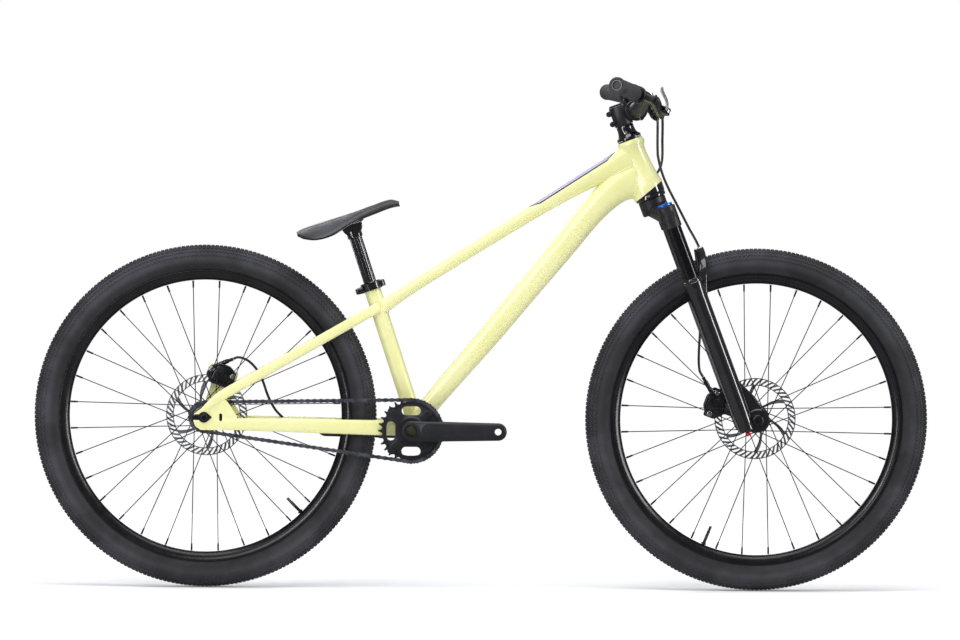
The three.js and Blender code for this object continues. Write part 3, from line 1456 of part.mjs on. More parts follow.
// The crown and its steerer: a round seat for the headset, two arms and two bored sockets
function crownShape() {
  const seat = barZ(crownDiameter, -crownHeight, 0, tubeSides);
  const socketLow = -crownSocketTop - crownSocketDepth;
  const steerer = barZ(steererDiameter, -crownHeight / 2, stemTop - gap, tubeSides);
  const parts = [steerer];
  const tools = [barZ(steererBore, -2 * crownHeight, 2 * stemTop, tubeSides)];
  const armEnd = -crownSocketTop - crownArmDepth / 2;
  [1, -1].forEach((side) => {
    const y = side * legSpread / 2;
    const arm = loft(crownArmShares.map((share) => ({
      at: new THREE.Vector3(
        legOffset * share, y * share, blend(-crownHeight / 2, armEnd, share ** crownArmFallPower),
      ),
      width: blend(crownDiameter * crownRootShare, crownSocketDiameter * crownEndShare, share),
      depth: blend(crownHeight * crownEndShare, crownArmDepth, share), square: crownArmSquare,
    })), smallSides, new THREE.Vector3(1, 0, 0));
    const socket = barZ(crownSocketDiameter, socketLow, -crownSocketTop, tubeSides);
    parts.push(arm, moved(socket, legOffset, y, 0));
    const boreTop = -crownSocketTop - faceplateWall;
    const bore = barZ(stanchionDiameter + 2 * gap, socketLow - overrun, boreTop, tubeSides);
    tools.push(moved(bore, legOffset, y, 0));
    const knobRoom = barZ(lockoutKnobDiameter + 2 * gap, -crownSocketTop, crownHeight, tubeSides);
    tools.push(moved(knobRoom, legOffset, y, 0));
  });
  const airCap = barZ(airCapDiameter, -crownSocketTop - overrun, airCapHeight - crownSocketTop, smallSides);
  return join(cut(join(seat, ...parts), ...tools), moved(airCap, legOffset, legSpread / 2, 0));
}

const stanchionTop = -crownSocketTop - faceplateWall - gap;

function stanchionShape(side) {
  const low = stanchionTop - stanchionLength;
  const tube = ringZ(stanchionDiameter, stanchionBore, low, stanchionTop, tubeSides);
  return moved(tube, legOffset, side * legSpread / 2, 0);
}

// One casting: two bored legs with a lip at the seal, a forward arch and a boss for the axle
const archSpreadShares = [1, 0.93, 0.7, 0.36, 0, -0.36, -0.7, -0.93, -1];
const archRiseShares = [-0.5, 0.1, 0.66, 0.92, 1, 0.92, 0.66, 0.1, -0.5];
const archReachShares = [0.1, 0.4, 0.8, 0.96, 1, 0.96, 0.8, 0.4, 0.1];
const archSquare = 3;

function archShape() {
  const stations = archSpreadShares.map((share, k) => ({
    at: new THREE.Vector3(
      legOffset + archReach * archReachShares[k], share * legSpread / 2,
      -legTop + archRise * archRiseShares[k] - archDrop * abs(share),
    ),
    width: archDepth, depth: archWidth, square: archSquare,
  }));
  return loft(stations, pinSides, new THREE.Vector3(1, 0, 0));
}

function legShape(side) {
  const inner = side * (frontHubWidth / 2);
  const outer = side * (frontHubWidth / 2 + forkBossThickness);
  const leg = turnedZ([
    [0, -legFoot], [legFootDiameter / 2, -legFoot], [legDiameter / 2, -legBoreFoot],
    [legDiameter / 2, -legTop - 2 * legCollarHeight], [legCollarDiameter / 2, -legTop - legCollarHeight],
    [legCollarDiameter / 2, -legTop], [0, -legTop],
  ], smallSides);
  const boss = barY(forkBossDiameter, min(inner, outer), max(inner, outer), tubeSides);
  const gusset = polygonShape([
    [legOffset, -axleToCrown + forkGusset], [legOffset + legDiameter / 2, -axleToCrown + forkGusset],
    [forkRake + forkBossDiameter / 2, -axleToCrown], [legOffset, -axleToCrown - forkBossDiameter / 4],
  ]);
  const low = side > 0 ? frontHubWidth / 2 + gap : -frontHubWidth / 2 - forkBossThickness;
  const web = sidePlate(gusset, low, low + forkBossThickness - gap, 1);
  return [
    moved(leg, legOffset, side * legSpread / 2, 0),
    moved(boss, forkRake, 0, -axleToCrown),
    web,
  ];
}

const frontBrakeTab = () => {
  const tab = brakeTab(frontCaliperAngle, caliperFace + gap + brakeTabThickness);
  return moved(tab, frontHub.x, 0, frontHub.z);
};

function lowersShape() {
  const tools = [];
  [1, -1].forEach((side) => {
    const bore = barZ(stanchionDiameter + 2 * gap, -legBoreFoot, archRise - legTop, tubeSides);
    tools.push(moved(bore, legOffset, side * legSpread / 2, 0));
    const face = side * (frontHubWidth / 2 + forkBossThickness);
    const past = side * frontHubWidth;
    const recess = barY(axleHeadDiameter + 4 * gap, min(face, past), max(face, past), smallSides);
    tools.push(moved(recess, forkRake, 0, -axleToCrown));
  });
  const hole = barY(axleStubDiameter + 2 * gap, -frontHubWidth, frontHubWidth, smallSides);
  tools.push(moved(hole, forkRake, 0, -axleToCrown));
  const tab = inFrame(frontBrakeTab(), steeringPlace.clone().invert());
  const hose = inFrame(frontHoseSolid(hoseDiameter + 4 * gap), steeringPlace.clone().invert());
  return cut(join(archShape(), ...legShape(1), ...legShape(-1), tab), hose, ...tools);
}

function lockoutKnobShape() {
  const low = -crownSocketTop + gap;
  const top = low + lockoutKnobHeight;
  const radius = lockoutKnobDiameter / 2;
  const knob = turnedZ([
    [0, low], [radius, low], [radius, top - lockoutKnobHeight / 3], [radius * boltCrownShare, top], [0, top],
  ], smallSides);
  return moved(knob, legOffset, -legSpread / 2, 0);
}

function reboundKnobShape() {
  const top = -legFoot - gap;
  const knob = barZ(reboundKnobDiameter, top - reboundKnobHeight, top, pinSides);
  return moved(knob, legOffset, -legSpread / 2, 0);
}

// Brake hoses follow their real routes. Each end runs straight out of its port, and the points
// between are shares of the way between the hubs, of half the bar or rear hub and of the
// crown's height.

function leverPort(side, out) {
  const end = new THREE.Vector3(leverCylinderReach, -leverCylinderInset - out, 0).applyMatrix4(leverFrame);
  end.y *= side;
  return end.applyMatrix4(steeringPlace);
}

function caliperPort(hub, angle, portAngle, out) {
  const end = new THREE.Vector3(0, 0, caliperPortLength + out);
  return end.applyMatrix4(portFrame(angle, portAngle)).add(hub);
}

const routeOf = (shares, halfSpread = barWidth / 2) => shares.map(([x, y, z]) => new THREE.Vector3(
  x * frontCentre, y * halfSpread, z * crownSeat.z,
));

const frontHoseShares = [
  [0.714, 0.3, 1.19], [0.734, 0.235, 1.08], [0.769, 0.18, 0.975], [0.806, 0.135, 0.867],
  [0.836, 0.112, 0.78], [0.842, 0.108, 0.7], [0.843, 0.108, 0.6], [0.841, 0.11, 0.5], [0.837, 0.114, 0.4],
];

function frontHoseSolid(diameter) {
  const portOut = [2 * gap, hoseDiameter * 3].map((out) => leverPort(1, out));
  const portIn = [hoseDiameter * 3, 2 * gap].map((out) => (
    caliperPort(frontHub, frontCaliperAngle, frontPortAngle, out)
  ));
  return cord([...portOut, ...routeOf(frontHoseShares), ...portIn], diameter, frontHoseSteps);
}

const rearHoseFrontShares = [
  [0.716, -0.26, 1.215], [0.73, -0.15, 1.16], [0.737, -0.06, 1.115], [0.735, 0.02, 1.085],
  [0.718, 0.09, 1.065], [0.684, 0.122, 1.055], [0.65, 0.108, 1.05], [0.622, 0.06, 1.045],
];

function rearHoseFrontShape() {
  const portOut = [2 * gap, hoseDiameter * 3].map((out) => leverPort(-1, out));
  const hose = cord([...portOut, ...routeOf(rearHoseFrontShares)], hoseDiameter, rearHoseFrontSteps);
  return cut(hose, downTubeOutside(gap), topTubeOutside(gap));
}

const rearHoseShares = [
  [-0.482, 0.734518519, 0.292], [-0.461, 0.712592593, 0.266], [-0.444, 0.70162963, 0.231],
  [-0.433, 0.70162963, 0.195], [-0.424, 0.712592593, 0.155], [-0.412, 0.734518519, 0.113],
  [-0.395, 0.767407407, 0.072], [-0.377, 0.811259259, 0.045],
];

function rearHoseShape() {
  const portOut = [2 * gap, hoseDiameter * 2].map((out) => (
    caliperPort(rearHub, rearCaliperAngle, rearPortAngle, out)
  ));
  const route = routeOf(rearHoseShares, rearHubWidth / 2);
  const hose = cord([...portOut, ...route], hoseDiameter, rearHoseSteps);
  return cut(hose, chainstayOutside(gap));
}

// The whole bike

const bike = new THREE.Group();

function addFrame() {
  bike.add(named("head_tube", headTubeShape(), painted()));
  bike.add(named("top_tube", topTubeShape(), painted()));
  bike.add(named("down_tube", downTubeShape(), painted()));
  bike.add(named("seat_tube", seatTubeShape(), painted()));
  bike.add(named("bottom_bracket_shell", bottomBracketShape(), painted()));
  bike.add(named("chainstay_left", chainstayShape(), painted()));
  bike.add(named("chainstay_right", mirrored(chainstayShape()), painted()));
  bike.add(named("seatstay_left", seatstayShape([brakeTabRoom()]), painted()));
  bike.add(named("seatstay_right", mirrored(seatstayShape([])), painted()));
  bike.add(named("dropout_left", dropoutShape(true), painted()));
  bike.add(named("dropout_right", mirrored(dropoutShape(false)), painted()));
  bike.add(named("bottom_cup_left", bottomCupShape(), glossBlack()));
  bike.add(named("bottom_cup_right", mirrored(bottomCupShape()), glossBlack()));
}

function addDrivetrain() {
  bike.add(named("crank_spindle", spindleShape(), brushedSteel()));
  bike.add(named("crank_arm_right", crankArm(true), satinBlack()));
  bike.add(named("crank_arm_left", crankArm(false).rotateZ(PI), satinBlack()));
  bike.add(named("chainring", chainringShape(), satinBlack()));
  bike.add(named("chain", chainShape(), chainSteel()));
  const sprocket = named("freewheel_cog", freewheelShape(), chainSteel());
  sprocket.position.copy(rearHub);
  bike.add(sprocket);
}

function addWheels() {
  const boss = -chainLine - freewheelWidth / 3;
  bike.add(wheel("rear", rearHub, rearValveAngle, boss, freewheelBoss));
  const frontEnd = -hubFlangeOffset - 3 * hubFlangeThickness;
  bike.add(wheel("front", frontHub, frontValveAngle, frontEnd, hubBarrelDiameter));
  const rearAxle = named("rear_axle", axleShape(rearHubWidth, dropoutThickness), glossBlack());
  rearAxle.position.copy(rearHub);
  const frontAxle = named("front_axle", axleShape(frontHubWidth, forkBossThickness), glossBlack());
  frontAxle.position.copy(frontHub);
  const rearCaliper = named("rear_caliper", caliperShape(rearCaliperAngle, rearPortAngle), glossBlack());
  rearCaliper.position.copy(rearHub);
  const legRoom = barZ(legDiameter + 2 * caliperLegRoom, -2 * legFoot, 0, tubeSides);
  const legInHub = inFrame(moved(legRoom, legOffset, legSpread / 2, 0), steeringPlace);
  legInHub.translate(-frontHub.x, 0, -frontHub.z);
  const frontBody = cut(caliperShape(frontCaliperAngle, frontPortAngle), legInHub);
  const frontCaliper = named("front_caliper", frontBody, glossBlack());
  frontCaliper.position.copy(frontHub);
  bike.add(rearAxle, frontAxle, rearCaliper, frontCaliper);
}

function addSeat() {
  const seat = new THREE.Group();
  seat.applyMatrix4(seatPlace);
  seat.add(named("seat_collar", seatCollarShape(), satinBlack()));
  seat.add(named("seatpost", seatpostShape(), satinBlack()));
  seat.add(named("saddle_pad", saddlePadShape(), rubber()));
  seat.add(named("saddle_shell", saddleShellShape(), satinBlack()));
  seat.add(named("saddle_bolt", saddleBoltShape(), glossBlack()));
  bike.add(seat);
}

function addSteering() {
  const steering = new THREE.Group();
  steering.applyMatrix4(steeringPlace);
  steering.add(named("headset_lower_cup", lowerCupShape(), glossBlack()));
  steering.add(named("headset_upper_cup", upperCupShape(), glossBlack()));
  steering.add(named("headset_cover", coverShape(), glossBlack()));
  steering.add(named("stem", stemShape(), satinBlack()));
  steering.add(named("stem_faceplate", faceplateShape(), satinBlack()));
  steering.add(named("stem_top_cap", topCapShape(), glossBlack()));
  steering.add(named("handlebar", barShape(), glossBlack()));
  steering.add(named("grip_left", gripShape(), rubber()));
  steering.add(named("grip_right", mirrored(gripShape()), rubber()));
  const body = leverBodyShape();
  const blade = inFrame(leverBladeShape(), leverFrame);
  steering.add(named("lever_body_left", body, glossBlack()));
  steering.add(named("lever_body_right", mirrored(body), glossBlack()));
  steering.add(named("lever_blade_left", blade, brushedSteel()));
  steering.add(named("lever_blade_right", mirrored(blade), brushedSteel()));
  steering.add(named("fork_crown", crownShape(), glossBlack()));
  steering.add(named("stanchion_left", stanchionShape(1), glossBlack()));
  steering.add(named("stanchion_right", stanchionShape(-1), glossBlack()));
  steering.add(named("lockout_knob", lockoutKnobShape(), blueMetal()));
  steering.add(named("fork_lowers", lowersShape(), glossBlack()));
  steering.add(named("rebound_knob", reboundKnobShape(), redMetal()));
  bike.add(steering);
}

function addHoses() {
  bike.add(named("front_hose", frontHoseSolid(hoseDiameter), glossBlack()));
  bike.add(named("rear_hose_front", rearHoseFrontShape(), glossBlack()));
  bike.add(named("rear_hose", rearHoseShape(), glossBlack()));
}

addFrame();
addDrivetrain();
addWheels();
addSeat();
addSteering();
addHoses();

export default bike;
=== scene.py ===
# A dirt jump bike: aluminium frame, short sprung fork, two disc brakes and one sprocket.
# The row frame is in metres. Pieces are drawn in millimetres and shrunk as they are finished.
from math import atan2, cos, hypot, pi, radians, sin

import bmesh
import bpy
from mathutils import Matrix, Vector
from mathutils.bvhtree import BVHTree


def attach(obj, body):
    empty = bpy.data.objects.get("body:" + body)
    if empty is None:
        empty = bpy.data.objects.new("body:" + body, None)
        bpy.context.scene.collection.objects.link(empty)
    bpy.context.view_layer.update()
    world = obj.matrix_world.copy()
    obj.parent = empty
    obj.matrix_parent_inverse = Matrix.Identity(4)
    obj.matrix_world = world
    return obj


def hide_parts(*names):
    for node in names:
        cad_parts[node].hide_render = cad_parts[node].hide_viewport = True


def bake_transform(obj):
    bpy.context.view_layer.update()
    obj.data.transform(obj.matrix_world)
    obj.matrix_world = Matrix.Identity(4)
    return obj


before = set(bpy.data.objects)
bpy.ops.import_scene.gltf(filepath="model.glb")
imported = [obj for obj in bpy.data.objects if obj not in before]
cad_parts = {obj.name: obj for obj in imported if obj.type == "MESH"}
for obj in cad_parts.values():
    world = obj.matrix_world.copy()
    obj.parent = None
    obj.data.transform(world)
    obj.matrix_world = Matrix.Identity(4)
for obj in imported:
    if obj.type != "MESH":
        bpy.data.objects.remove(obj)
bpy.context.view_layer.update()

# The camera. It stands ten metres off on the bike's right, level with the tops of the wheels,
# with a long lens, so that both wheels look nearly round.
yaw, pitch, roll = 0.0018, -0.0256, 0.0073
lens_length, film_width = 199.17, 36
camera_place = Vector((0.1144, -10.4235, 0.4835))
look = Vector((sin(yaw) * cos(pitch), cos(yaw) * cos(pitch), sin(pitch)))
level = Vector((cos(yaw), -sin(yaw), 0))
rise = level.cross(look)
camera_right = level * cos(roll) + rise * sin(roll)
camera_up = rise * cos(roll) - level * sin(roll)
camera_data = bpy.data.cameras.new("camera")
camera_data.lens = lens_length
camera_data.sensor_width = film_width
camera = bpy.data.objects.new("camera", camera_data)
turn = Matrix((camera_right, camera_up, -look)).transposed().to_4x4()
camera.matrix_world = Matrix.Translation(camera_place) @ turn
bpy.context.scene.collection.objects.link(camera)
bpy.context.scene.camera = camera
bpy.context.scene.view_settings.view_transform = "Standard"

# The studio. A pale floor under the tyres, soft lamps above and beside the bike, and a white
# surround that only the camera and glass see. Gloss sees the room darker, as beside black flags,
# and two tall strips that light nothing else. The floor keeps the tyres' shadow.
floor_height, floor_reach, floor_glow = -0.3115, 2.3, 0.1
paper_shade, paper_in_gloss = 0.94, 0.4
fill_strength, fill_in_gloss = 0.5, 0.2


def tint(red, green, blue):
    """A colour written as a painter's 0 to 255 values, as the shader takes it."""
    def linear(value):
        share = value / 255
        return share / 12.92 if share < 0.04045 else ((share + 0.055) / 1.055) ** 2.4
    return (linear(red), linear(green), linear(blue), 1)


def shader_node(tree, kind, sockets=(), operation=None):
    """A new node, with a value or another node's output on each socket that is named."""
    made = tree.nodes.new("ShaderNode" + kind)
    if operation:
        made.operation = operation
    for socket, value in dict(sockets).items():
        if isinstance(value, bpy.types.NodeSocket):
            tree.links.new(value, made.inputs[socket])
        else:
            made.inputs[socket].default_value = value
    return made


def seen_directly(tree):
    """One where the camera or glass looks, and zero for the light that falls on the bike."""
    path = shader_node(tree, "LightPath").outputs
    either = {0: path["Is Camera Ray"], 1: path["Is Transmission Ray"]}
    return shader_node(tree, "Math", either, "MAXIMUM").outputs[0]


def less_in_gloss(tree, plain, in_gloss):
    """A strength that drops where a glossy surface looks, as black flags beside a bike do."""
    path = shader_node(tree, "LightPath").outputs
    return shader_node(tree, "MapRange", {
        "Value": path["Is Glossy Ray"], "To Min": plain, "To Max": in_gloss,
    }).outputs["Result"]


world = bpy.data.worlds.new("studio")
bpy.context.scene.world = world
world.use_nodes = True
tree = world.node_tree
tree.nodes.clear()
surround = shader_node(tree, "Background", {"Color": (1, 1, 1, 1), "Strength": 1})
fill = shader_node(tree, "Background", {
    "Color": tint(246, 248, 255), "Strength": less_in_gloss(tree, fill_strength, fill_in_gloss),
})
chosen = shader_node(tree, "MixShader", {
    0: seen_directly(tree), 1: fill.outputs[0], 2: surround.outputs[0],
})
shader_node(tree, "OutputWorld", {"Surface": chosen.outputs[0]})

floor_paper = bpy.data.materials.new("floor_paper")
floor_paper.use_nodes = True
tree = floor_paper.node_tree
tree.nodes.clear()
paper = shader_node(tree, "BsdfDiffuse", {"Color": less_in_gloss(tree, paper_shade, paper_in_gloss)})
glow = shader_node(tree, "Emission", {"Strength": floor_glow})
dark = shader_node(tree, "Emission", {"Strength": 0})
shown = shader_node(tree, "MixShader", {
    0: seen_directly(tree), 1: dark.outputs[0], 2: glow.outputs[0],
})
both = shader_node(tree, "AddShader", {0: paper.outputs[0], 1: shown.outputs[0]})
shader_node(tree, "OutputMaterial", {"Surface": both.outputs[0]})
bm = bmesh.new()
bmesh.ops.create_grid(bm, x_segments=1, y_segments=1, size=floor_reach)
bmesh.ops.translate(bm, verts=bm.verts, vec=(0, 0, floor_height))
floor_mesh = bpy.data.meshes.new("floor")
bm.to_mesh(floor_mesh)
bm.free()
floor_mesh.materials.append(floor_paper)
floor = bpy.data.objects.new("floor", floor_mesh)
bpy.context.scene.collection.objects.link(floor)


def soft_lamp(name, place, aim, size, power, gloss_only=False):
    """A soft box that hangs at a place and points at another. A gloss card only shows in shine."""
    data = bpy.data.lights.new(name, "AREA")
    data.shape = "RECTANGLE"
    data.size, data.size_y = size
    data.energy = power
    lamp = bpy.data.objects.new(name, data)
    direction = Vector(aim) - Vector(place)
    lamp.rotation_euler = direction.to_track_quat("-Z", "Y").to_euler()
    lamp.location = place
    lamp.visible_diffuse = not gloss_only
    bpy.context.scene.collection.objects.link(lamp)


soft_lamp("lamp_above", (0.2, -0.8, 3.2), (0.1, 0, 0.1), (3.6, 1.6), 80)
soft_lamp("lamp_front", (-1.6, -3.6, 2.1), (0.1, 0, 0.1), (2.4, 2.0), 47)
soft_lamp("strip_right", (3.9, -1.5, 0.8), (0.2, 0, 0.2), (0.5, 3.2), 120, True)
soft_lamp("strip_left", (-2.7, -3.2, 0.9), (0, 0, 0.2), (0.3, 3.2), 85, True)
soft_lamp("lamp_behind", (-0.6, 3.4, 2.2), (0.1, 0, 0.1), (2.6, 2.0), 50)


# The main frame. Hydroformed aluminium tubes, mitred and welded, then sanded and painted in one
# gloss coat: a flared head tube, a slim top tube, a deep bowed down tube and a round seat tube.
# What stands on the steering line or on the seat tube's is drawn upright and then leant.
millimetre = 0.001
tiny = 0.01
head_angle, seat_angle, seat_foot = 69.4, 71.7, 12.5
front_hub = Vector((677, 0, 25))
fork_length, fork_rake = 478, 44
crown_seat = front_hub + fork_length * Vector((-cos(radians(head_angle)), 0, sin(radians(head_angle))))
crown_seat -= fork_rake * Vector((sin(radians(head_angle)), 0, cos(radians(head_angle))))
steering = Matrix.Translation(crown_seat) @ Matrix.Rotation(radians(head_angle - 90), 4, "Y")
seating = Matrix.Translation((seat_foot, 0, 0)) @ Matrix.Rotation(radians(seat_angle - 90), 4, "Y")
to_left = Matrix.Rotation(-pi / 2, 4, "X")


def curved(points, between):
    """Centres along a smooth curve through points, timed by the root of each gap so that close
    points make no loop."""
    points = [Vector(p) for p in points]
    ends = [2 * points[0] - points[1], *points, 2 * points[-1] - points[-2]]
    line = []
    for a, b, c, d in zip(ends, ends[1:], ends[2:], ends[3:]):
        times = [0]
        for first, second in ((a, b), (b, c), (c, d)):
            times.append(times[-1] + max((second - first).length, tiny) ** 0.5)
        for k in range(between):
            t = times[1] + (times[2] - times[1]) * k / between
            row = [a, b, c, d]
            for width in (1, 2, 3):
                row = [
                    row[i] * ((times[i + width] - t) / (times[i + width] - times[i]))
                    + row[i + 1] * ((t - times[i]) / (times[i + width] - times[i]))
                    for i in range(len(row) - 1)
                ]
            line.append(row[0])
    return [*line, points[-1]]


def capped(bm):
    """The shell with a face over each of its open ends."""
    bmesh.ops.holes_fill(bm, edges=[e for e in bm.edges if e.is_boundary], sides=0)
    return bm


def skinned(bm, rings):
    """Rings of points, bridged one after another into a shell that is capped at both ends."""
    loops = [list(dict.fromkeys(e for v in ring for e in v.link_edges)) for ring in rings]
    for first, second in zip(loops, loops[1:]):
        bmesh.ops.bridge_loops(bm, edges=first + second)
    capped(bm)
    bmesh.ops.recalc_face_normals(bm, faces=bm.faces)
    return bm


def drawn(sections, sides=40, between=6, across=(0, 1, 0)):
    """A closed tube drawn through sections, each a centre, a width, a depth, a squareness and a
    droop of its sides."""
    keys = [(*s, 2, 0)[:5] if len(s) == 3 else (*s, 0)[:5] for s in sections]
    centres = curved([k[0] for k in keys], between)
    rows = [keys[0], *keys, keys[-1], keys[-1]]
    sizes = []
    for k in range(len(centres)):
        place, t = k // between, k % between / between
        a, b, c, d = rows[place:place + 4]
        sizes.append([
            b[i] + t * (c[i] - a[i] + t * (2 * a[i] - 5 * b[i] + 4 * c[i] - d[i]
            + t * (3 * b[i] - a[i] - 3 * c[i] + d[i]))) / 2 for i in (1, 2, 3, 4)
        ])
    bm = bmesh.new()
    rings = []
    for k, (centre, (width, depth, square, droop)) in enumerate(zip(centres, sizes)):
        along = (centres[min(k + 1, len(centres) - 1)] - centres[max(k - 1, 0)]).normalized()
        side = (Vector(across) - along * Vector(across).dot(along)).normalized()
        up = along.cross(side)
        ring = bmesh.ops.create_circle(bm, segments=sides, radius=1)["verts"]
        for v in ring:
            share, height = (
                abs(c) ** (2 / square) * (1 if c > 0 else -1) if abs(c) > 1e-6 else 0
                for c in (v.co.x, v.co.y)
            )
            v.co = centre + side * share * width / 2
            v.co += up * (height * depth / 2 - droop * share * share)
        rings.append(ring)
    return skinned(bm, rings)


def turned(profile, steps=64, closed=False):
    """A round piece: a few corners, each a radius and a height, spun once round the Z axis."""
    bm = bmesh.new()
    corners = [bm.verts.new((radius, 0, height)) for radius, height in profile]
    ends = corners[1:] + corners[:1] if closed else corners[1:]
    wire = [bm.edges.new(pair) for pair in zip(corners, ends)]
    bmesh.ops.spin(
        bm, geom=corners + wire, axis=(0, 0, 1), angle=2 * pi, steps=steps, use_merge=True,
    )
    bmesh.ops.remove_doubles(bm, verts=bm.verts, dist=tiny / 10)
    bmesh.ops.recalc_face_normals(bm, faces=bm.faces)
    return bm


def eased(bm, width, corner=35, segments=2):
    """The sharp corners of a piece, rounded over as a file or a casting die leaves them."""
    sharp = [
        e for e in bm.edges
        if len(e.link_faces) == 2 and abs(e.calc_face_angle(0)) > radians(corner)
    ]
    bmesh.ops.bevel(
        bm, geom=sharp, offset=width, segments=segments, profile=0.5, affect="EDGES",
        material=-1, clamp_overlap=True,
    )
    return bm


def placed(bm, *frames):
    """The piece moved into place. A mirrored one has its faces turned out again."""
    for matrix in frames:
        bmesh.ops.transform(bm, matrix=matrix, verts=bm.verts)
        if matrix.determinant() < 0:
            bmesh.ops.reverse_faces(bm, faces=bm.faces)
    return bm


def gathered(*parts):
    """Several bodies in one piece, such as a casting with its bolts."""
    whole = bmesh.new()
    for part in parts:
        mesh = bpy.data.meshes.new("part")
        part.to_mesh(mesh)
        part.free()
        whole.from_mesh(mesh)
        bpy.data.meshes.remove(mesh)
    return whole


def finished(name, bm, body, material, stands_for=(), crease=38):
    """The piece as an object at the origin that rides on its body and has its finish."""
    bmesh.ops.transform(bm, matrix=Matrix.Scale(millimetre, 4), verts=bm.verts)
    mesh = bpy.data.meshes.new(name)
    bm.to_mesh(mesh)
    bm.free()
    mesh.shade_smooth()
    mesh.set_sharp_from_angle(angle=radians(crease))
    mesh.materials.append(material)
    piece = bpy.data.objects.new(name, mesh)
    bpy.context.scene.collection.objects.link(piece)
    if body:
        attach(piece, body)
    if stands_for:
        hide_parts(*stands_for)
    return piece


def post(radius, low, high, steps):
    """A plain round body that stands on the Z axis."""
    return turned([(0, low), (radius, low), (radius, high), (0, high)], steps)


def cloud_over(tree, scale, detail):
    """Soft noise over a piece, fixed to its own place."""
    place = shader_node(tree, "TexCoord").outputs["Object"]
    cloud = shader_node(tree, "TexNoise", {"Vector": place, "Scale": scale, "Detail": detail})
    return cloud.outputs["Fac"]


def clouded(tree, scale, low, high):
    """A slow drift between two shades over the surface, as dirt and handling leave it."""
    shades = shader_node(tree, "ValToRGB", {"Fac": cloud_over(tree, scale, 4)})
    for step, share, shade in zip(shades.color_ramp.elements, (0.4, 0.6), (low, high)):
        step.position = share
        step.color = shade
    return shades.outputs["Color"]


def rough_patches(tree, scale, low, high):
    """Gloss that varies a little from place to place, between two roughnesses."""
    return shader_node(tree, "MapRange", {
        "Value": cloud_over(tree, scale, 5), "From Min": 0.3, "From Max": 0.7, "To Min": low,
        "To Max": high,
    }).outputs["Result"]


def grain(tree, scale, height):
    """Fine relief: orange peel in paint, cast skin, moulded grain or rubber."""
    return shader_node(tree, "Bump", {
        "Height": cloud_over(tree, scale, 3), "Strength": 1, "Distance": height,
    }).outputs["Normal"]


def coating(name, low, high, roughness, patch, relief, metallic=0, **sockets):
    """A finish with its drift of colour, its varying gloss and its fine relief."""
    material = bpy.data.materials.new(name)
    material.use_nodes = True
    tree = material.node_tree
    shader = tree.nodes["Principled BSDF"]
    shader.inputs["Metallic"].default_value = metallic
    for socket, value in sockets.items():
        shader.inputs[socket.replace("_", " ")].default_value = value
    tree.links.new(clouded(tree, patch, low, high), shader.inputs["Base Color"])
    tree.links.new(rough_patches(tree, patch * 3, *roughness), shader.inputs["Roughness"])
    tree.links.new(grain(tree, *relief), shader.inputs["Normal"])
    return material


def value_of(tree, operation, *inputs):
    """One step of arithmetic on numbers or sockets."""
    return shader_node(tree, "Math", dict(enumerate(inputs)), operation).outputs[0]


def striped(material, start, end, across, bands, point=30, over=3):
    """Paint lines that follow a ridge from start to end and run out to a point at both ends. Each
    band is a depth below the ridge and a colour."""
    tree = material.node_tree
    shader = tree.nodes["Principled BSDF"]
    place = shader_node(tree, "TexCoord").outputs["Object"]
    offset = shader_node(tree, "VectorMath", {0: place, 1: start * millimetre}, "SUBTRACT").outputs[0]
    run, height = (
        shader_node(tree, "VectorMath", {0: offset, 1: way}, "DOT_PRODUCT").outputs["Value"]
        for way in ((end - start).normalized(), across)
    )
    length = (end - start).length * millimetre
    near = value_of(tree, "MINIMUM", run, value_of(tree, "SUBTRACT", length, run))
    width = value_of(tree, "MINIMUM", value_of(tree, "DIVIDE", near, point * millimetre), 1)
    width = value_of(tree, "MAXIMUM", width, 0)
    colour = shader.inputs["Base Color"].links[0].from_socket
    for depth, paint in bands:
        low = value_of(tree, "MULTIPLY", width, -depth * millimetre)
        inside = value_of(tree, "GREATER_THAN", height, low)
        inside = value_of(tree, "MULTIPLY", inside, value_of(tree, "GREATER_THAN", near, 0))
        below = value_of(tree, "LESS_THAN", height, over * millimetre)
        mixed = tree.nodes.new("ShaderNodeMix")
        mixed.data_type = "RGBA"
        tree.links.new(value_of(tree, "MULTIPLY", inside, below), mixed.inputs["Factor"])
        under, top = (s for s in mixed.inputs if s.type == "RGBA")
        tree.links.new(colour, under)
        top.default_value = paint
        colour = next(s for s in mixed.outputs if s.type == "RGBA")
    tree.links.new(colour, shader.inputs["Base Color"])


frame_coat = coating(
    "frame_gloss_paint", tint(246, 245, 171), tint(250, 248, 181), (0.24, 0.34), patch=9,
    relief=(420, 0.000002), Coat_Weight=0.6, Coat_Roughness=0.06,
)

head_length = 122.3
head_shell = turned([
    (0, -6), (32.5, -6), (32.5, 10), (32.3, 27), (30.6, 34), (27, 50), (24.2, 72), (22.8, 90),
    (22.6, 98), (23.4, 104), (25.6, 110), (27, 113.5), (27, 116), (25.6, 119.5), (24, head_length),
    (0, head_length),
], 96)
slant_low, slant_high = Vector((-32.5, 0, 4)), Vector((32.5, 0, 27))


def cut_on_slant(bm, keep_above):
    """The piece cut off along the slant of the head tube's lower end."""
    slant = slant_high - slant_low
    bmesh.ops.bisect_plane(
        bm, geom=bm.verts[:] + bm.edges[:] + bm.faces[:], plane_co=slant_low,
        plane_no=(slant.z, 0, -slant.x), clear_outer=keep_above, clear_inner=not keep_above,
    )
    return capped(bm)


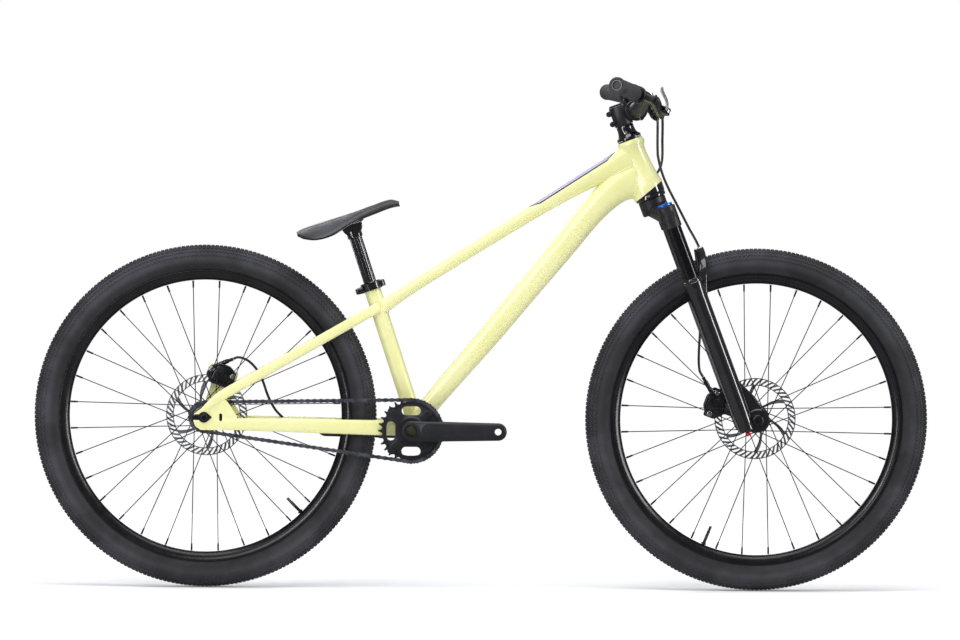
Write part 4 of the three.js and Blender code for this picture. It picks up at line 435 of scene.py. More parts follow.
head_shell = placed(cut_on_slant(head_shell, True), steering)
top_rear = seating @ Vector((0, 0, 262))
top_front = steering @ Vector((-13, 0, 118))
top_along = (top_front - top_rear).normalized()
top_below = Vector((top_along.z, 0, -top_along.x))
top_depths = [27.3, 23.4, 24.6, 27.6, 34.2, 45, 60.5]
top_widths = [27.7, 29.4, 31.9, 35.3, 38.6, 42, 42]
top_shares = [0, 0.1, 0.35, 0.58, 0.78, 0.9, 1]
top_shell = drawn([
    (top_rear.lerp(top_front, share) + top_below * depth / 2, width, depth, 2.8)
    for share, width, depth in zip(top_shares, top_widths, top_depths)
])
down_front = steering @ Vector((-5, 0, 47))
down_along = down_front.normalized()
down_above = Vector((-down_along.z, 0, down_along.x))
down_shares = [0.02, 0.12, 0.335, 0.555, 0.72, 0.83, 0.93, 1]
down_bows = [2.5, 7, 10.5, 16.8, 21, 25, 20, 0]
down_depths = [34.3, 37, 41.6, 44.9, 46.9, 49.5, 59.4, 73.9]
down_widths = [51.3, 51.3, 46.4, 46.4, 48.6, 50.8, 50.8, 48.6]
down_shell = drawn([
    (down_front * share + down_above * bow, width, depth, 2.8)
    for share, bow, depth, width in zip(down_shares, down_bows, down_depths, down_widths)
])
seat_shell = placed(post(15.9, 14, 304, 64), seating)
shell_width, shell_radius = 73, 21.5
bracket_shell = post(shell_radius, -shell_width / 2, shell_width / 2, 64)
bracket_shell = placed(eased(bracket_shell, 1.2), to_left)


def as_object(bm):
    """The shell as an object that a Boolean can use."""
    mesh = bpy.data.meshes.new("tool")
    bm.to_mesh(mesh)
    bm.free()
    tube = bpy.data.objects.new("tool", mesh)
    bpy.context.scene.collection.objects.link(tube)
    return tube


def combined(body, tools, operation="UNION"):
    """Shells welded to the first one into one skin, or cut out of it."""
    first = as_object(body)
    others = [as_object(tool) for tool in tools]
    for other in others:
        weld = first.modifiers.new("weld", "BOOLEAN")
        weld.operation = operation
        weld.solver = "EXACT"
        weld.object = other
    bpy.context.view_layer.update()
    ready = first.evaluated_get(bpy.context.evaluated_depsgraph_get())
    mesh = bpy.data.meshes.new_from_object(ready)
    skin = bmesh.new()
    skin.from_mesh(mesh)
    for tube in [first, *others]:
        bpy.data.objects.remove(tube)
    bpy.data.meshes.remove(mesh)
    return skin


def united(shells):
    """Tubes joined as one skin, as welding and paint leave them, and each tube's own surface."""
    for shell in shells:
        bmesh.ops.triangulate(shell, faces=shell.faces)
    trees = [BVHTree.FromBMesh(shell) for shell in shells]
    return combined(shells[0], shells[1:]), trees


def weld_lines(skin, trees, turn=16, length=30):
    """The lines where one tube's surface meets another's, each as a row of points in order."""
    def owner(face):
        near = [(tree.find_nearest(face.calc_center_median())[3], k) for k, tree in enumerate(trees)]
        return min(near)[1]

    def meets(edge, tree):
        return all(tree.find_nearest(v.co)[3] < tiny * 5 for v in edge.verts)

    owners = {face: owner(face) for face in skin.faces}
    left = {}
    for edge in skin.edges:
        if len(edge.link_faces) != 2 or edge.calc_face_angle(0) < radians(turn):
            continue
        pair = [owners[face] for face in edge.link_faces]
        if pair[0] != pair[1] and all(meets(edge, trees[k]) for k in pair):
            left[edge] = True
    rows = []
    while left:
        edge = next(iter(left))
        del left[edge]
        row = [edge.verts[0], edge.verts[1]]
        for end in (1, 0):
            while True:
                tip = row[-1] if end else row[0]
                onward = [e for e in tip.link_edges if e in left]
                if not onward:
                    break
                del left[onward[0]]
                row.insert(len(row) if end else 0, onward[0].other_vert(tip))
        row = [v.co.copy() for v in row]
        if sum((b - a).length for a, b in zip(row, row[1:])) > length:
            rows.append(row)
    return rows


def bead(row, radius, ripple=0.1, step=1.3, sides=8):
    """A weld bead laid along a seam: a cord of overlapping ripples."""
    spaced = [row[0]]
    rest = 0
    for first, second in zip(row, row[1:]):
        run = (second - first).length
        while run - rest > step:
            rest += step
            spaced.append(first.lerp(second, rest / run))
        rest -= run
    if len(spaced) < 6:
        return None
    for _ in range(3):
        spaced = [
            (spaced[max(k - 1, 0)] + spaced[k] * 2 + spaced[min(k + 1, len(spaced) - 1)]) / 4
            for k in range(len(spaced))
        ]
    bm = bmesh.new()
    rings = []
    for k, centre in enumerate(spaced):
        along = spaced[min(k + 1, len(spaced) - 1)] - spaced[max(k - 1, 0)]
        turn = along.to_track_quat("Z", "Y").to_matrix().to_4x4()
        size = radius * (1 + ripple * (k % 3 - 1))
        rings.append(bmesh.ops.create_circle(
            bm, segments=sides, radius=size, matrix=Matrix.Translation(centre) @ turn,
        )["verts"])
    return skinned(bm, rings)


stripe_start, stripe_end = top_rear.lerp(top_front, 0.6), top_rear.lerp(top_front, 0.972)
striped(frame_coat, stripe_start, stripe_end, -top_below, [
    (9, tint(44, 42, 62)), (5.8, tint(186, 180, 206)),
])
main_skin, main_trees = united([head_shell, top_shell, down_shell, seat_shell, bracket_shell])
main_rows = weld_lines(main_skin, main_trees)
main_beads = [b for b in (bead(row, 1.9) for row in main_rows) if b]
finished(
    "main_frame", main_skin, "frame", frame_coat,
    ["head_tube", "top_tube", "down_tube", "seat_tube", "bottom_bracket_shell"], crease=40,
)
finished("frame_welds", gathered(*main_beads), "frame", frame_coat)

# The stays. Two bent chainstays and two slim seatstays, aluminium, swing out round the tyre and
# are welded to the shell, the seat tube and thick dropout plates in the same paint.
rear_hub = Vector((-404.2, 0, 25))
at_rear_hub = Matrix.Translation(rear_hub)
mirror_side = Matrix.Scale(-1, 4, (0, 1, 0))
hub_gap = 67.5
plate_thickness = 7
stay_end = hub_gap + plate_thickness / 2


def chainstay():
    """From the shell, out round the tyre, thinning into the dropout's inner face."""
    shares = [0.03, 0.14, 0.3, 0.5, 0.74, 0.84, 0.9, 0.955]
    spread_shares = [0, 0.3, 0.46, 0.62, 0.86, 0.95, 1, 1]
    widths = [15, 15, 15, 15, 15, 15, 11, 6.6]
    depths = [30, 30, 28.8, 27, 24.6, 23.6, 23, 22.4]
    return drawn([
        (Vector((rear_hub.x * share, 22 + (stay_end - 22) * spread, 4 + 9 * share)), width, depth, 3)
        for share, spread, width, depth in zip(shares, spread_shares, widths, depths)
    ], sides=32)


def seatstay():
    """From the seat tube's side down to the dropout's top corner, in three thinning sections."""
    shares = [0, 0.07, 0.2, 0.38, 0.7, 0.9]
    spread_shares = [0, 0.2, 0.42, 0.56, 0.8, 0.98]
    top = seating @ Vector((0, 0, 253))
    foot = rear_hub + Vector((0, 0, 22))
    sections = []
    for share, spread in zip(shares, spread_shares):
        centre = top.lerp(foot, share)
        centre.y = 14 + (stay_end - 14) * spread
        sections.append((centre, 14, 20, 3))
    for forward, above, width, depth in ((22, 32.5, 11.5, 19), (8, 21.5, 7.6, 14), (-7, 11.5, 6.4, 6)):
        sections.append((rear_hub + Vector((forward, stay_end, above)), width, depth, 3))
    return drawn(sections, sides=32)


def thickened(bm, offset):
    """Flat faces made a plate, by a copy pushed off them and the sides closed between."""
    grown = bmesh.ops.extrude_face_region(bm, geom=bm.faces[:])
    raised = [v for v in grown["geom"] if isinstance(v, bmesh.types.BMVert)]
    bmesh.ops.translate(bm, verts=raised, vec=offset)
    bmesh.ops.recalc_face_normals(bm, faces=bm.faces)
    return bm


def slab(outline, low, high, corner=0, ease=1.2, segments=2, rounding=5):
    """A flat plate drawn in X and Z between two Y faces. Its corners are rounded, it is made
    thick and its edges are eased."""
    bm = bmesh.new()
    bm.faces.new([bm.verts.new((x, low, z)) for x, z in outline])
    if corner:
        bmesh.ops.bevel(
            bm, geom=bm.verts[:], offset=corner, segments=rounding, profile=0.5,
            affect="VERTICES", material=-1, clamp_overlap=True,
        )
        bmesh.ops.remove_doubles(bm, verts=bm.verts, dist=tiny)
    thickened(bm, (0, high - low, 0))
    if ease:
        eased(bm, ease, 60, segments)
    return bm


def block(back, bottom, front, top, low, high, corner=0, ease=0, segments=2):
    """A slab with a square outline between two X and two Z values, often a tool that cuts."""
    outline = [(back, bottom), (front, bottom), (front, top), (back, top)]
    return slab(outline, low, high, corner, ease, segments)


def dropout():
    """A hooded plate with a slot that opens to the rear."""
    x, z = rear_hub.x, rear_hub.z
    outline = [
        (x - 21, z - 5.6), (x + 6, z - 5.6), (x + 9, z - 3), (x + 9, z + 3), (x + 6, z + 5.6),
        (x - 20, z + 5.6), (x + 29.3, z + 44), (x + 45.6, z + 30.8), (x + 64.8, z + 2.5),
        (x + 64.8, z - 25), (x - 6.2, z - 25), (x - 16.6, z - 17.5),
    ]
    return slab(outline, hub_gap, hub_gap + plate_thickness, 2, 1.5)


def tensioner_window():
    """The tall hole in the plate in front of the axle, as the tool that cuts it."""
    x, z = rear_hub.x, rear_hub.z
    return block(
        x + 30, z - 7.5, x + 36, z + 7.5, hub_gap - 5, hub_gap + plate_thickness + 8, 2.9,
    )


def brake_mount(angle, low, high):
    """The forged tab under a caliper: a stem from the dropout that spreads to two bolts."""
    outline = [
        (26, -13.5), (59, -13.5), (76, -30), (97.8, -30), (97.8, -15), (85, 0), (97.8, 15),
        (97.8, 30), (76, 30), (59, 13.5), (26, 13.5),
    ]
    return placed(slab(outline, low, high, 4, 1.5), Matrix.Rotation(-radians(angle), 4, "Y"))


rear_caliper_angle, tab_inner = 70, 58.94
left_stays = [chainstay(), seatstay(), dropout()]
left_stays.append(placed(brake_mount(rear_caliper_angle, tab_inner, 70.5), at_rear_hub))
left_skin = united(left_stays)[0]
right_skin = united([placed(make(), mirror_side) for make in (chainstay, seatstay, dropout)])[0]
left_skin = combined(left_skin, [tensioner_window()], "DIFFERENCE")
right_skin = combined(right_skin, [placed(tensioner_window(), mirror_side)], "DIFFERENCE")
for skin, side in ((left_skin, "left"), (right_skin, "right")):
    finished(
        f"rear_stays_{side}", skin, "frame", frame_coat,
        [f"chainstay_{side}", f"seatstay_{side}", f"dropout_{side}"], crease=40,
    )


# The tyres. Black rubber on a fabric casing, moulded in one go: a round crown covered in small
# diamond knobs and a smooth wall that runs down to the rim.
at_front_hub = Matrix.Translation(front_hub)
wheels = (("rear", at_rear_hub, "rear_wheel"), ("front", at_front_hub, "front_wheel"))


def ringed(material, centre, edge, inside, outside):
    """The same rubber, darker on the smooth wall and lighter on the tread outside a radius."""
    tree = material.node_tree
    shader = tree.nodes["Principled BSDF"]
    place = shader_node(tree, "TexCoord").outputs["Object"]
    offset = shader_node(tree, "VectorMath", {0: place, 1: centre * millimetre}, "SUBTRACT")
    flat = shader_node(tree, "VectorMath", {0: offset.outputs["Vector"], 1: (1, 0, 1)}, "MULTIPLY")
    reach = shader_node(tree, "VectorMath", {0: flat.outputs["Vector"]}, "LENGTH")
    span = shader_node(tree, "MapRange", {
        "Value": reach.outputs["Value"], "From Min": (edge - 5) * millimetre,
        "From Max": (edge + 4) * millimetre, "To Min": inside, "To Max": outside,
    })
    colour = shader.inputs["Base Color"].links[0].from_socket
    shade = shader_node(tree, "VectorMath", {0: colour, "Scale": span.outputs["Result"]}, "SCALE")
    tree.links.new(shade.outputs["Vector"], shader.inputs["Base Color"])


def tyre():
    """A closed section spun round the wheel. The crown's squares are cut again into diamonds, and
    every other diamond is raised to a knob."""
    crown_middle, crown_rise, half_width = 311, 23.2, 27
    tread = [radians(-95 + 19 * k) for k in range(11)]
    wall = [(301.5, 25.9), (294.5, 23), (289.5, 19.2), (286.9, 15.6), (286.4, 13.2), (277.6, 13.2)]
    inside = [(277.6, 10), (288, 10.6), (296, 19.5), (311, 23), (325, 17), (330, 0)]
    section = [(r, -y) for r, y in reversed(wall)]
    section += [(crown_middle + crown_rise * cos(a), half_width * sin(a)) for a in tread]
    section += wall + inside + [(r, -y) for r, y in reversed(inside[:-1])]
    bm = turned(section, 252, closed=True)
    crown = [
        f for f in bm.faces
        if hypot(*f.calc_center_median().xy) > 308.6 and
        f.normal.dot(f.calc_center_median() - Vector((*f.calc_center_median().xy, 0)).normalized()
                     * crown_middle) > 0
    ]
    covered = set(crown)
    inner = [e for e in bm.edges if all(f in covered for f in e.link_faces)]
    rings = [tuple(e.verts) for e in inner if abs(e.verts[0].co.z - e.verts[1].co.z) < tiny]
    bmesh.ops.poke(bm, faces=crown)
    bmesh.ops.dissolve_edges(bm, edges=inner, use_verts=False)
    knobs = [next(f for f in a.link_faces if b in f.verts) for a, b in rings]
    bmesh.ops.inset_individual(bm, faces=knobs, thickness=0.75)
    bmesh.ops.inset_individual(bm, faces=knobs, thickness=0.3, depth=1.7)
    return placed(bm, to_left)


for side, place, body in wheels:
    tyre_rubber = coating(
        f"tyre_rubber_{side}", tint(38, 38, 42), tint(52, 52, 57), (0.62, 0.8), patch=14,
        relief=(1400, 0.00002), Specular_IOR_Level=0.3,
    )
    ringed(tyre_rubber, place.to_translation(), 303, 0.8, 1.45)
    finished(
        f"tyre_{side}", placed(tyre(), place), body, tyre_rubber, [f"{side}_tyre"],
    )


# The rims. A black anodised aluminium box section, rolled and welded, with a hooked edge that
# holds the tyre's bead and one valve through it.
rim_gloss = coating(
    "rim_gloss_black", tint(17, 17, 20), tint(24, 24, 28), (0.2, 0.3), patch=20,
    relief=(900, 0.000006), metallic=0.3,
)
spoke_count = 32
spoke_reach = 266


def along_radius(bm, angle, reach=0):
    """A piece drawn up the Z axis, laid to point outwards at an angle round the wheel."""
    return placed(
        bm, Matrix.Translation((0, 0, reach)), Matrix.Rotation(pi / 2 - radians(angle), 4, "Y"),
    )


def rim(valve_angle):
    """The hollow section spun round, with the valve's stem and nut through it at an angle."""
    half = [
        (267, 4.2), (267.9, 6.2), (271.5, 9.6), (277, 13.2), (281, 14.6), (284.6, 15.5),
        (286, 15.2), (286.4, 14.3), (285.6, 13.5), (283.2, 13.7), (277.2, 13.6), (276.4, 12.6),
    ]
    bm = placed(turned(half + [(r, -y) for r, y in reversed(half)], 256, closed=True), to_left)
    seat = along_radius(turned([
        (0, -44), (2.2, -44), (2.6, -43), (2.6, -34), (3, -33.5), (3, -9.4), (5.2, -9), (5.2, -6.4),
        (3.4, -5.6), (3.4, 2), (0, 2),
    ], 16), valve_angle, 272)
    return gathered(bm, seat)


for (side, place, body), valve in zip(wheels, (-45, 247.5)):
    finished(
        f"rim_{side}", placed(rim(valve), place), body, rim_gloss, [f"{side}_rim"],
        crease=50,
    )


# The hubs and spokes. A turned and drilled aluminium shell turns on sealed bearings, and 32
# butted steel spokes, painted black, cross three times on their way to the rim.
hub_metal = coating(
    "hub_satin_black", tint(26, 26, 29), tint(36, 36, 40), (0.34, 0.46), patch=40,
    relief=(1200, 0.000008), metallic=0.5,
)
flange_reach, flange_middle = 22.3, 26
pitch_turn = 360 / (spoke_count / 2)


def rod(sections, sides=8):
    """A thin straight piece with a width at each of its points."""
    return drawn([(Vector(p), w, w) for p, w in sections], sides, 1, (0.3, 1, 0.2))


def spoke(side, lead):
    """One spoke with its bent head and its nipple, from the first hole of its side."""
    start = radians(0 if lead * side > 0 else pitch_turn)
    end = start + lead * radians(3 * pitch_turn - pitch_turn / 4)
    hole = Vector((flange_reach * cos(start), 0, flange_reach * sin(start)))
    far = Vector((spoke_reach * cos(end), side * (2 + lead * 1.1), spoke_reach * sin(end)))
    near = hole + Vector((0, side * (flange_middle + lead * 2.2), 0))
    head = hole + Vector((0, side * (flange_middle - lead * 3.4), 0))
    bend = near + (far - near).normalized() * 2
    line = (far - bend).normalized()
    return rod([
        (head, 3.4), (head.lerp(near, 0.12), 3.4), (head.lerp(near, 0.16), 2.2), (near, 2.2),
        (bend, 2.2), (bend + line * 30, 1.9), (far - line * 14, 1.9), (far - line * 13.5, 3.6),
        (far - line * 2, 3.9), (far, 3.9),
    ])


def repeated(bm, count, axis=(0, 0, 1)):
    """A shape and its copies, turned in even steps all the way round an axis."""
    bmesh.ops.spin(
        bm, geom=bm.verts[:] + bm.edges[:] + bm.faces[:], axis=axis,
        angle=2 * pi * (count - 1) / count, steps=count - 1, use_duplicate=True,
    )
    return bm


def spokes():
    """Four spokes, one of each side and lead, repeated round the hub."""
    four = gathered(*[spoke(side, lead) for side in (1, -1) for lead in (1, -1)])
    return repeated(four, spoke_count // 4, (0, -1, 0))


def hub(right, end_width):
    """A hollow shell with two flanges and a seat for the rotor, and its end on the right."""
    shell = turned([
        (8.2, right), (end_width - 0.8, right), (end_width, right + 0.8), (end_width, -30),
        (20, -29.6), (23.9, -28.6), (24.5, -27.6), (24.5, -24.4), (23.9, -23.4), (17, -22),
        (14, -17), (12.6, -10), (12.6, 10), (14, 17), (17, 22), (23.9, 23.4), (24.5, 24.4),
        (24.5, 27.6), (23.9, 28.6), (18, 29.6), (18, 32), (21.4, 36), (22, 37), (22, 40.6),
        (8.2, 40.6),
    ], 72, closed=True)
    return placed(eased(shell, 0.4, 50), to_left)


for (side, place, body), (right, end_width) in zip(wheels, ((-56, 16), (-44, 13.5))):
    finished(
        f"hub_{side}", placed(hub(right, end_width), place), body, hub_metal,
        [f"{side}_hub_spokes"],
    )
    finished(f"spokes_{side}", placed(spokes(), place), body, hub_metal)


# The brake rotors. Laser-cut stainless discs, ground grey: a band with slanted slots to brake on,
# six slim swept arms and a centre with six bolts.
rotor_steel = coating(
    "rotor_steel", tint(132, 134, 140), tint(170, 172, 178), (0.22, 0.38), patch=60,
    relief=(2600, 0.000012), metallic=1,
)


rotor_line, rotor_thickness = 41, 1.8


def round_place(face):
    """How far a face's middle stands from the Z axis, and at what angle round it."""
    middle = face.calc_center_median()
    return hypot(middle.x, middle.y), atan2(middle.y, middle.x)


def rotor():
    """A flat disc of 180 steps with its slots and windows taken out, then swept and thickened."""
    steps, sweep_start, middle_edge, arm_end, band_start, band_end, edge = 180, 25, 28, 65, 66.8, 78.2, 80
    radii = [11, 18, sweep_start, middle_edge, 36, 46, 56, arm_end]
    radii += [band_start, 70, 73.2, 76.4, band_end, edge]
    bm = turned([(r, 0) for r in radii], steps)
    gone = []
    for face in bm.faces:
        reach, angle = round_place(face)
        step = int(angle / (2 * pi) * steps + 2 * steps) % steps
        slot = band_start < reach < band_end and step % 4 < 2
        window = middle_edge < reach < arm_end and step % (steps // 6) >= 4
        if slot or window:
            gone.append(face)
    bmesh.ops.delete(bm, geom=gone, context="FACES")
    for v in bm.verts:
        reach = hypot(v.co.x, v.co.y)
        sweep = 0.42 * max(0, min(reach, arm_end) - sweep_start) / (arm_end - sweep_start)
        sweep += 0.19 * max(0, reach - arm_end) / (edge - arm_end)
        v.co = Matrix.Rotation(sweep, 3, "Z") @ v.co
    corners = [v for v in bm.verts if v.is_boundary and len(v.link_faces) in (1, 3)]
    bmesh.ops.bevel(
        bm, geom=corners, offset=0.7, segments=2, profile=0.5, affect="VERTICES", material=-1,
        clamp_overlap=True,
    )
    thickened(bm, (0, 0, rotor_thickness))
    bolt = turned([(0, 1.5), (3.6, 1.5), (3.6, 3.4), (3.1, 3.9), (1.6, 3.9), (1.4, 2.6), (0, 2.6)], 20)
    bolts = repeated(placed(bolt, Matrix.Translation((22, 0, 0))), 6)
    return placed(gathered(bm, bolts), to_left, Matrix.Translation((0, rotor_line, 0)))


for side, place, body in wheels:
    finished(
        f"rotor_{side}", placed(rotor(), place), body, rotor_steel, [f"{side}_rotor"],
        crease=30,
    )


# The bottom bracket. Two threaded aluminium cups hold sealed bearings outside the shell, and a
# hollow steel spindle runs through them from arm to arm.
satin_metal = coating(
    "satin_black_metal", tint(30, 30, 33), tint(42, 42, 46), (0.36, 0.5), patch=36,
    relief=(1500, 0.00001), metallic=0.4,
)


def bottom_cup():
    """A flanged cup with sixteen notches pressed into its rim for the tool that screws it in."""
    steps = 48
    bm = turned([
        (12.3, 28), (16.6, 28), (16.6, 36.8), (21.8, 36.8), (22.5, 37.5), (22.5, 44), (21.6, 46),
        (18, 46.1), (17.6, 45.2), (12.3, 45.2),
    ], steps, closed=True)
    notches = []
    for face in bm.faces:
        reach, angle = round_place(face)
        on_rim = reach > 22.2 and 38 < face.calc_center_median().z < 43.9
        if on_rim and int(angle / (2 * pi) * steps + steps) % 3 == 0:
            notches.append(face)
    bmesh.ops.inset_individual(bm, faces=notches, thickness=0.4, depth=-1)
    return placed(bm, to_left)


for side in ("left", "right"):
    cup = bottom_cup()
    if side == "right":
        cup = placed(cup, mirror_side)
    finished(f"bottom_cup_{side}", cup, "frame", satin_metal, [f"bottom_cup_{side}"])
spindle = turned([(9.5, -77), (12, -77), (12, 77), (9.5, 77)], 64, closed=True)
finished(
    "crank_spindle", placed(eased(spindle, 0.4, 50), to_left), "crank", satin_metal,
    ["crank_spindle"],
)


# The cranks. Forged and machined aluminium arms, anodised matte black, pressed on the spindle.
# The right one carries a four-armed spider, milled out in oval windows, for the chainring.
crank_metal = coating(
    "crank_matte_black", tint(26, 27, 32), tint(36, 37, 43), (0.4, 0.5), patch=18,
    relief=(1800, 0.000008), metallic=0.35,
)
crank_reach, crank_face = 170, 79
ring_bolt_reach = 47.55
spider_turns = [Matrix.Rotation(-radians(45 + 90 * k), 4, "Y") for k in range(4)]


def strap(first, second, low, high, chamfer=0, face="low", ease=0.8):
    """A flat link between two round ends, each an X, a Z and a radius, from the skin stretched
    over its rims. One face can be chamfered."""
    bm = bmesh.new()
    rims = [(low, 0), (high, 0)]
    if chamfer:
        rims = [(low, 0), (high - chamfer, 0), (high, chamfer)]
        if face == "low":
            rims = [(low, chamfer), (low + chamfer, 0), (high, 0)]
    for y, inset in rims:
        for x, z, radius in (first, second):
            bmesh.ops.create_circle(
                bm, segments=64, radius=radius - inset,
                matrix=Matrix.Translation((x, y, z)) @ to_left,
            )
    skin = bmesh.ops.convex_hull(bm, input=bm.verts, use_existing_faces=False)
    spare = set(skin["geom_interior"] + skin["geom_unused"])
    bmesh.ops.delete(
        bm, geom=[g for g in spare if isinstance(g, bmesh.types.BMVert)], context="VERTS",
    )
    bmesh.ops.delete(bm, geom=[e for e in bm.edges if not e.link_faces], context="EDGES")
    bmesh.ops.dissolve_limit(
        bm, angle_limit=radians(1), verts=bm.verts, edges=bm.edges, use_dissolve_boundaries=False,
    )
    bmesh.ops.recalc_face_normals(bm, faces=bm.faces)
    if ease:
        eased(bm, ease, 30, 3)
    return bm


def pin(radius, low, high, steps=40):
    """A plain round body that lies along Y."""
    return placed(post(radius, low, high, steps), to_left)


def outboard(profile, steps, closed=True):
    """A turned piece laid along Y, with its heights counted out to the right."""
    return placed(turned(profile, steps, closed), to_left, mirror_side)


def crank_arm(with_spider):
    """Drawn for the right side, with its outer face towards -Y and the pedal's eye along +X."""
    at_eye = Matrix.Translation((crank_reach, 0, 0))
    arm = strap((0, 0, 20.5), (crank_reach, 0, 17), -crank_face, -64, 3.4)
    ridge = strap((34, 1.5, 15), (crank_reach - 8, 0.5, 12.6), -crank_face - 0.5, -70, 1.2)
    boss = outboard([
        (12.3, 46.9), (18.8, 46.9), (19.2, 47.4), (20.3, 66), (20.3, 74), (17.6, 78.9), (14.6, 79.4),
        (14.2, 78.8), (12.3, 78.8),
    ], 72)
    ring = outboard([(12.4, 78), (14.4, 78), (14.4, 79.6), (13.9, 80), (12.9, 80), (12.4, 79.5)], 64)
    eye = placed(pin(7.2, -90, -50, 48), at_eye)
    bored = combined(combined(arm, [ridge]), [pin(12.35, -90, -40, 64), eye], "DIFFERENCE")
    liner = outboard([(6.6, 64), (7.3, 64), (7.3, 78.6), (7, 79.2), (6.6, 78.8)], 40)
    bodies = [bored, boss, ring, placed(liner, at_eye)]
    if with_spider:
        bodies.append(spider())
        for turn in spider_turns:
            bolt = outboard([
                (0, 48.9), (4, 48.9), (4, 56), (5.6, 56.6), (5.6, 57.6), (5, 58.4), (2.8, 58.4),
                (2.5, 56.8), (0, 56.8),
            ], 24, False)
            bodies.append(placed(bolt, Matrix.Translation((ring_bolt_reach, 0, 0)), turn))
    return gathered(*bodies)


def spider():
    """A disc with four windows, milled to leave four arms that end in round tabs."""
    disc = outboard([
        (14, 50.6), (27, 50.6), (27, 51.6), (51.6, 51.6), (51.6, 54.2), (50.6, 55.4), (30, 56.5),
        (26, 60), (14, 60),
    ], 96)
    tabs = [
        placed(strap((30, 0, 9), (ring_bolt_reach, 0, 8), -57, -51.7, 0.8), turn)
        for turn in spider_turns
    ]
    windows = []
    for k in range(4):
        window = strap((-10, 39.6, 8.6), (10, 39.6, 8.6), -70, -40, ease=0)
        windows.append(placed(window, Matrix.Rotation(-radians(90 * k), 4, "Y")))
    return eased(combined(combined(disc, tabs), windows, "DIFFERENCE"), 0.5, 60)


finished(
    "crank_arm_right", crank_arm(True), "crank", crank_metal, ["crank_arm_right"],
)
finished(
    "crank_arm_left", placed(crank_arm(False), Matrix.Rotation(pi, 4, "Z")), "crank",
    crank_metal, ["crank_arm_left"],
)


# The chainring and sprocket. Both are stamped and milled plates, the ring hard black aluminium
# with thirty narrow teeth, the sprocket steel with fourteen, screwed on the hub.
chain_pitch, chain_line, roller_radius = 12.7, 50, 3.8
ring_teeth, cog_teeth, tooth_width = 30, 14, 2.4


def pitch_circle(teeth):
    """The radius on which the rollers' centres lie."""
    return chain_pitch / 2 / sin(pi / teeth)


def toothed(teeth, inner, thickness):
    """One gap between two teeth, drawn once and repeated round the ring, then made thick."""
    radius, half = pitch_circle(teeth), pi / teeth
    seat = [pi - radians(a) for a in (0, 30, 60, 78)]
    flank = [
        (radius + (roller_radius + 0.2) * cos(a), (roller_radius + 0.2) * sin(a)) for a in seat
    ]
    side = [atan2(z, x) for x, z in flank]
    rise = [hypot(x, z) for x, z in flank]
    tip = [(rise[0], 0)] + [(r, -a) for r, a in zip(rise[1:], side[1:])]
    tip += [(radius + 2.4, -half + 1.5 / radius), (radius + 3.9, -half + 0.9 / radius)]
    tip += [(radius + 4.1, -half)]
    row = [(inner, -half), (inner, half)] + [(r, -a) for r, a in reversed(tip)] + tip[1:]
    bm = bmesh.new()
    bm.faces.new([bm.verts.new((r * cos(a), r * sin(a), 0)) for r, a in row])
    bmesh.ops.rotate(bm, verts=bm.verts, matrix=Matrix.Rotation(pi / 2, 3, "Z"))
    repeated(bm, teeth)
    bmesh.ops.remove_doubles(bm, verts=bm.verts, dist=tiny)
    thickened(bm, (0, 0, thickness))
    eased(bm, 0.35, 60, 1)
    at_chain = Matrix.Translation((0, -chain_line + thickness / 2, 0))
    return placed(bm, Matrix.Rotation(pi / 2, 4, "X"), at_chain)


ring_tabs = [
    placed(strap((ring_bolt_reach, 0, 7.6), (53, 0, 9), -51.1, -48.9, 0.5), turn)
    for turn in spider_turns
]
finished(
    "chainring", gathered(toothed(ring_teeth, 49, tooth_width), *ring_tabs), "crank",
    crank_metal, ["chainring"],
)
sprocket = gathered(toothed(cog_teeth, 17, tooth_width), outboard([
    (16.4, 38.2), (20.6, 38.2), (21.6, 39), (22, 40), (22, 54.6), (21.4, 55.4), (19, 55.8),
    (16.4, 55.8),
], 64))
chain_steel = coating(
    "chain_steel", tint(70, 72, 79), tint(104, 106, 114), (0.3, 0.48), patch=70,
    relief=(2200, 0.00001), metallic=0.9,
)
finished(
    "sprocket", placed(sprocket, at_rear_hub), "freewheel", chain_steel,
    ["freewheel_cog"],
)


# The chain. Steel, pressed and riveted: pairs of waisted inner plates round a roller, joined by
# outer plates with a pin, over the ring, the sprocket and two straight runs.
def chain_places():
    """The centre of every roller, once round the loop."""
    ring, cog = pitch_circle(ring_teeth), pitch_circle(cog_teeth)
    places = []

    def half(centre, radius, steps, start):
        for k in range(steps):
            a = start - pi * k / steps
            places.append(centre + Vector((radius * cos(a), 0, radius * sin(a))))

    def run(a, b):
        steps = round((b - a).length / chain_pitch)
        places.extend(a.lerp(b, k / steps) for k in range(steps))

    half(Vector(), ring, ring_teeth // 2, pi / 2)
    run(Vector((0, 0, -ring)), rear_hub + Vector((0, 0, -cog)))
    half(rear_hub, cog, cog_teeth // 2, -pi / 2)
    run(rear_hub + Vector((0, 0, cog)), Vector((0, 0, ring)))
    return places


def link_plate(length, outside, inside):
    """A plate with round ends and a waist: a circle pulled apart, its long edges pinched."""
    bm = bmesh.new()
    half_step = Matrix.Rotation(pi / 12, 4, "Z")
    bmesh.ops.create_circle(bm, cap_ends=True, segments=12, radius=4.1, matrix=half_step)
    for v in bm.verts:
        v.co.x += length / 2 if v.co.x > 0 else -length / 2
    long_edges = [e for e in bm.edges if e.calc_length() > length * 0.6]
    halved = bmesh.ops.subdivide_edges(bm, edges=long_edges, cuts=1)
    for v in halved["geom_inner"]:
        if isinstance(v, bmesh.types.BMVert):
            v.co.y *= 0.7
    thickened(bm, (0, 0, outside - inside))
    return placed(bm, Matrix.Translation((0, 0, inside)), Matrix.Rotation(pi / 2, 4, "X"))


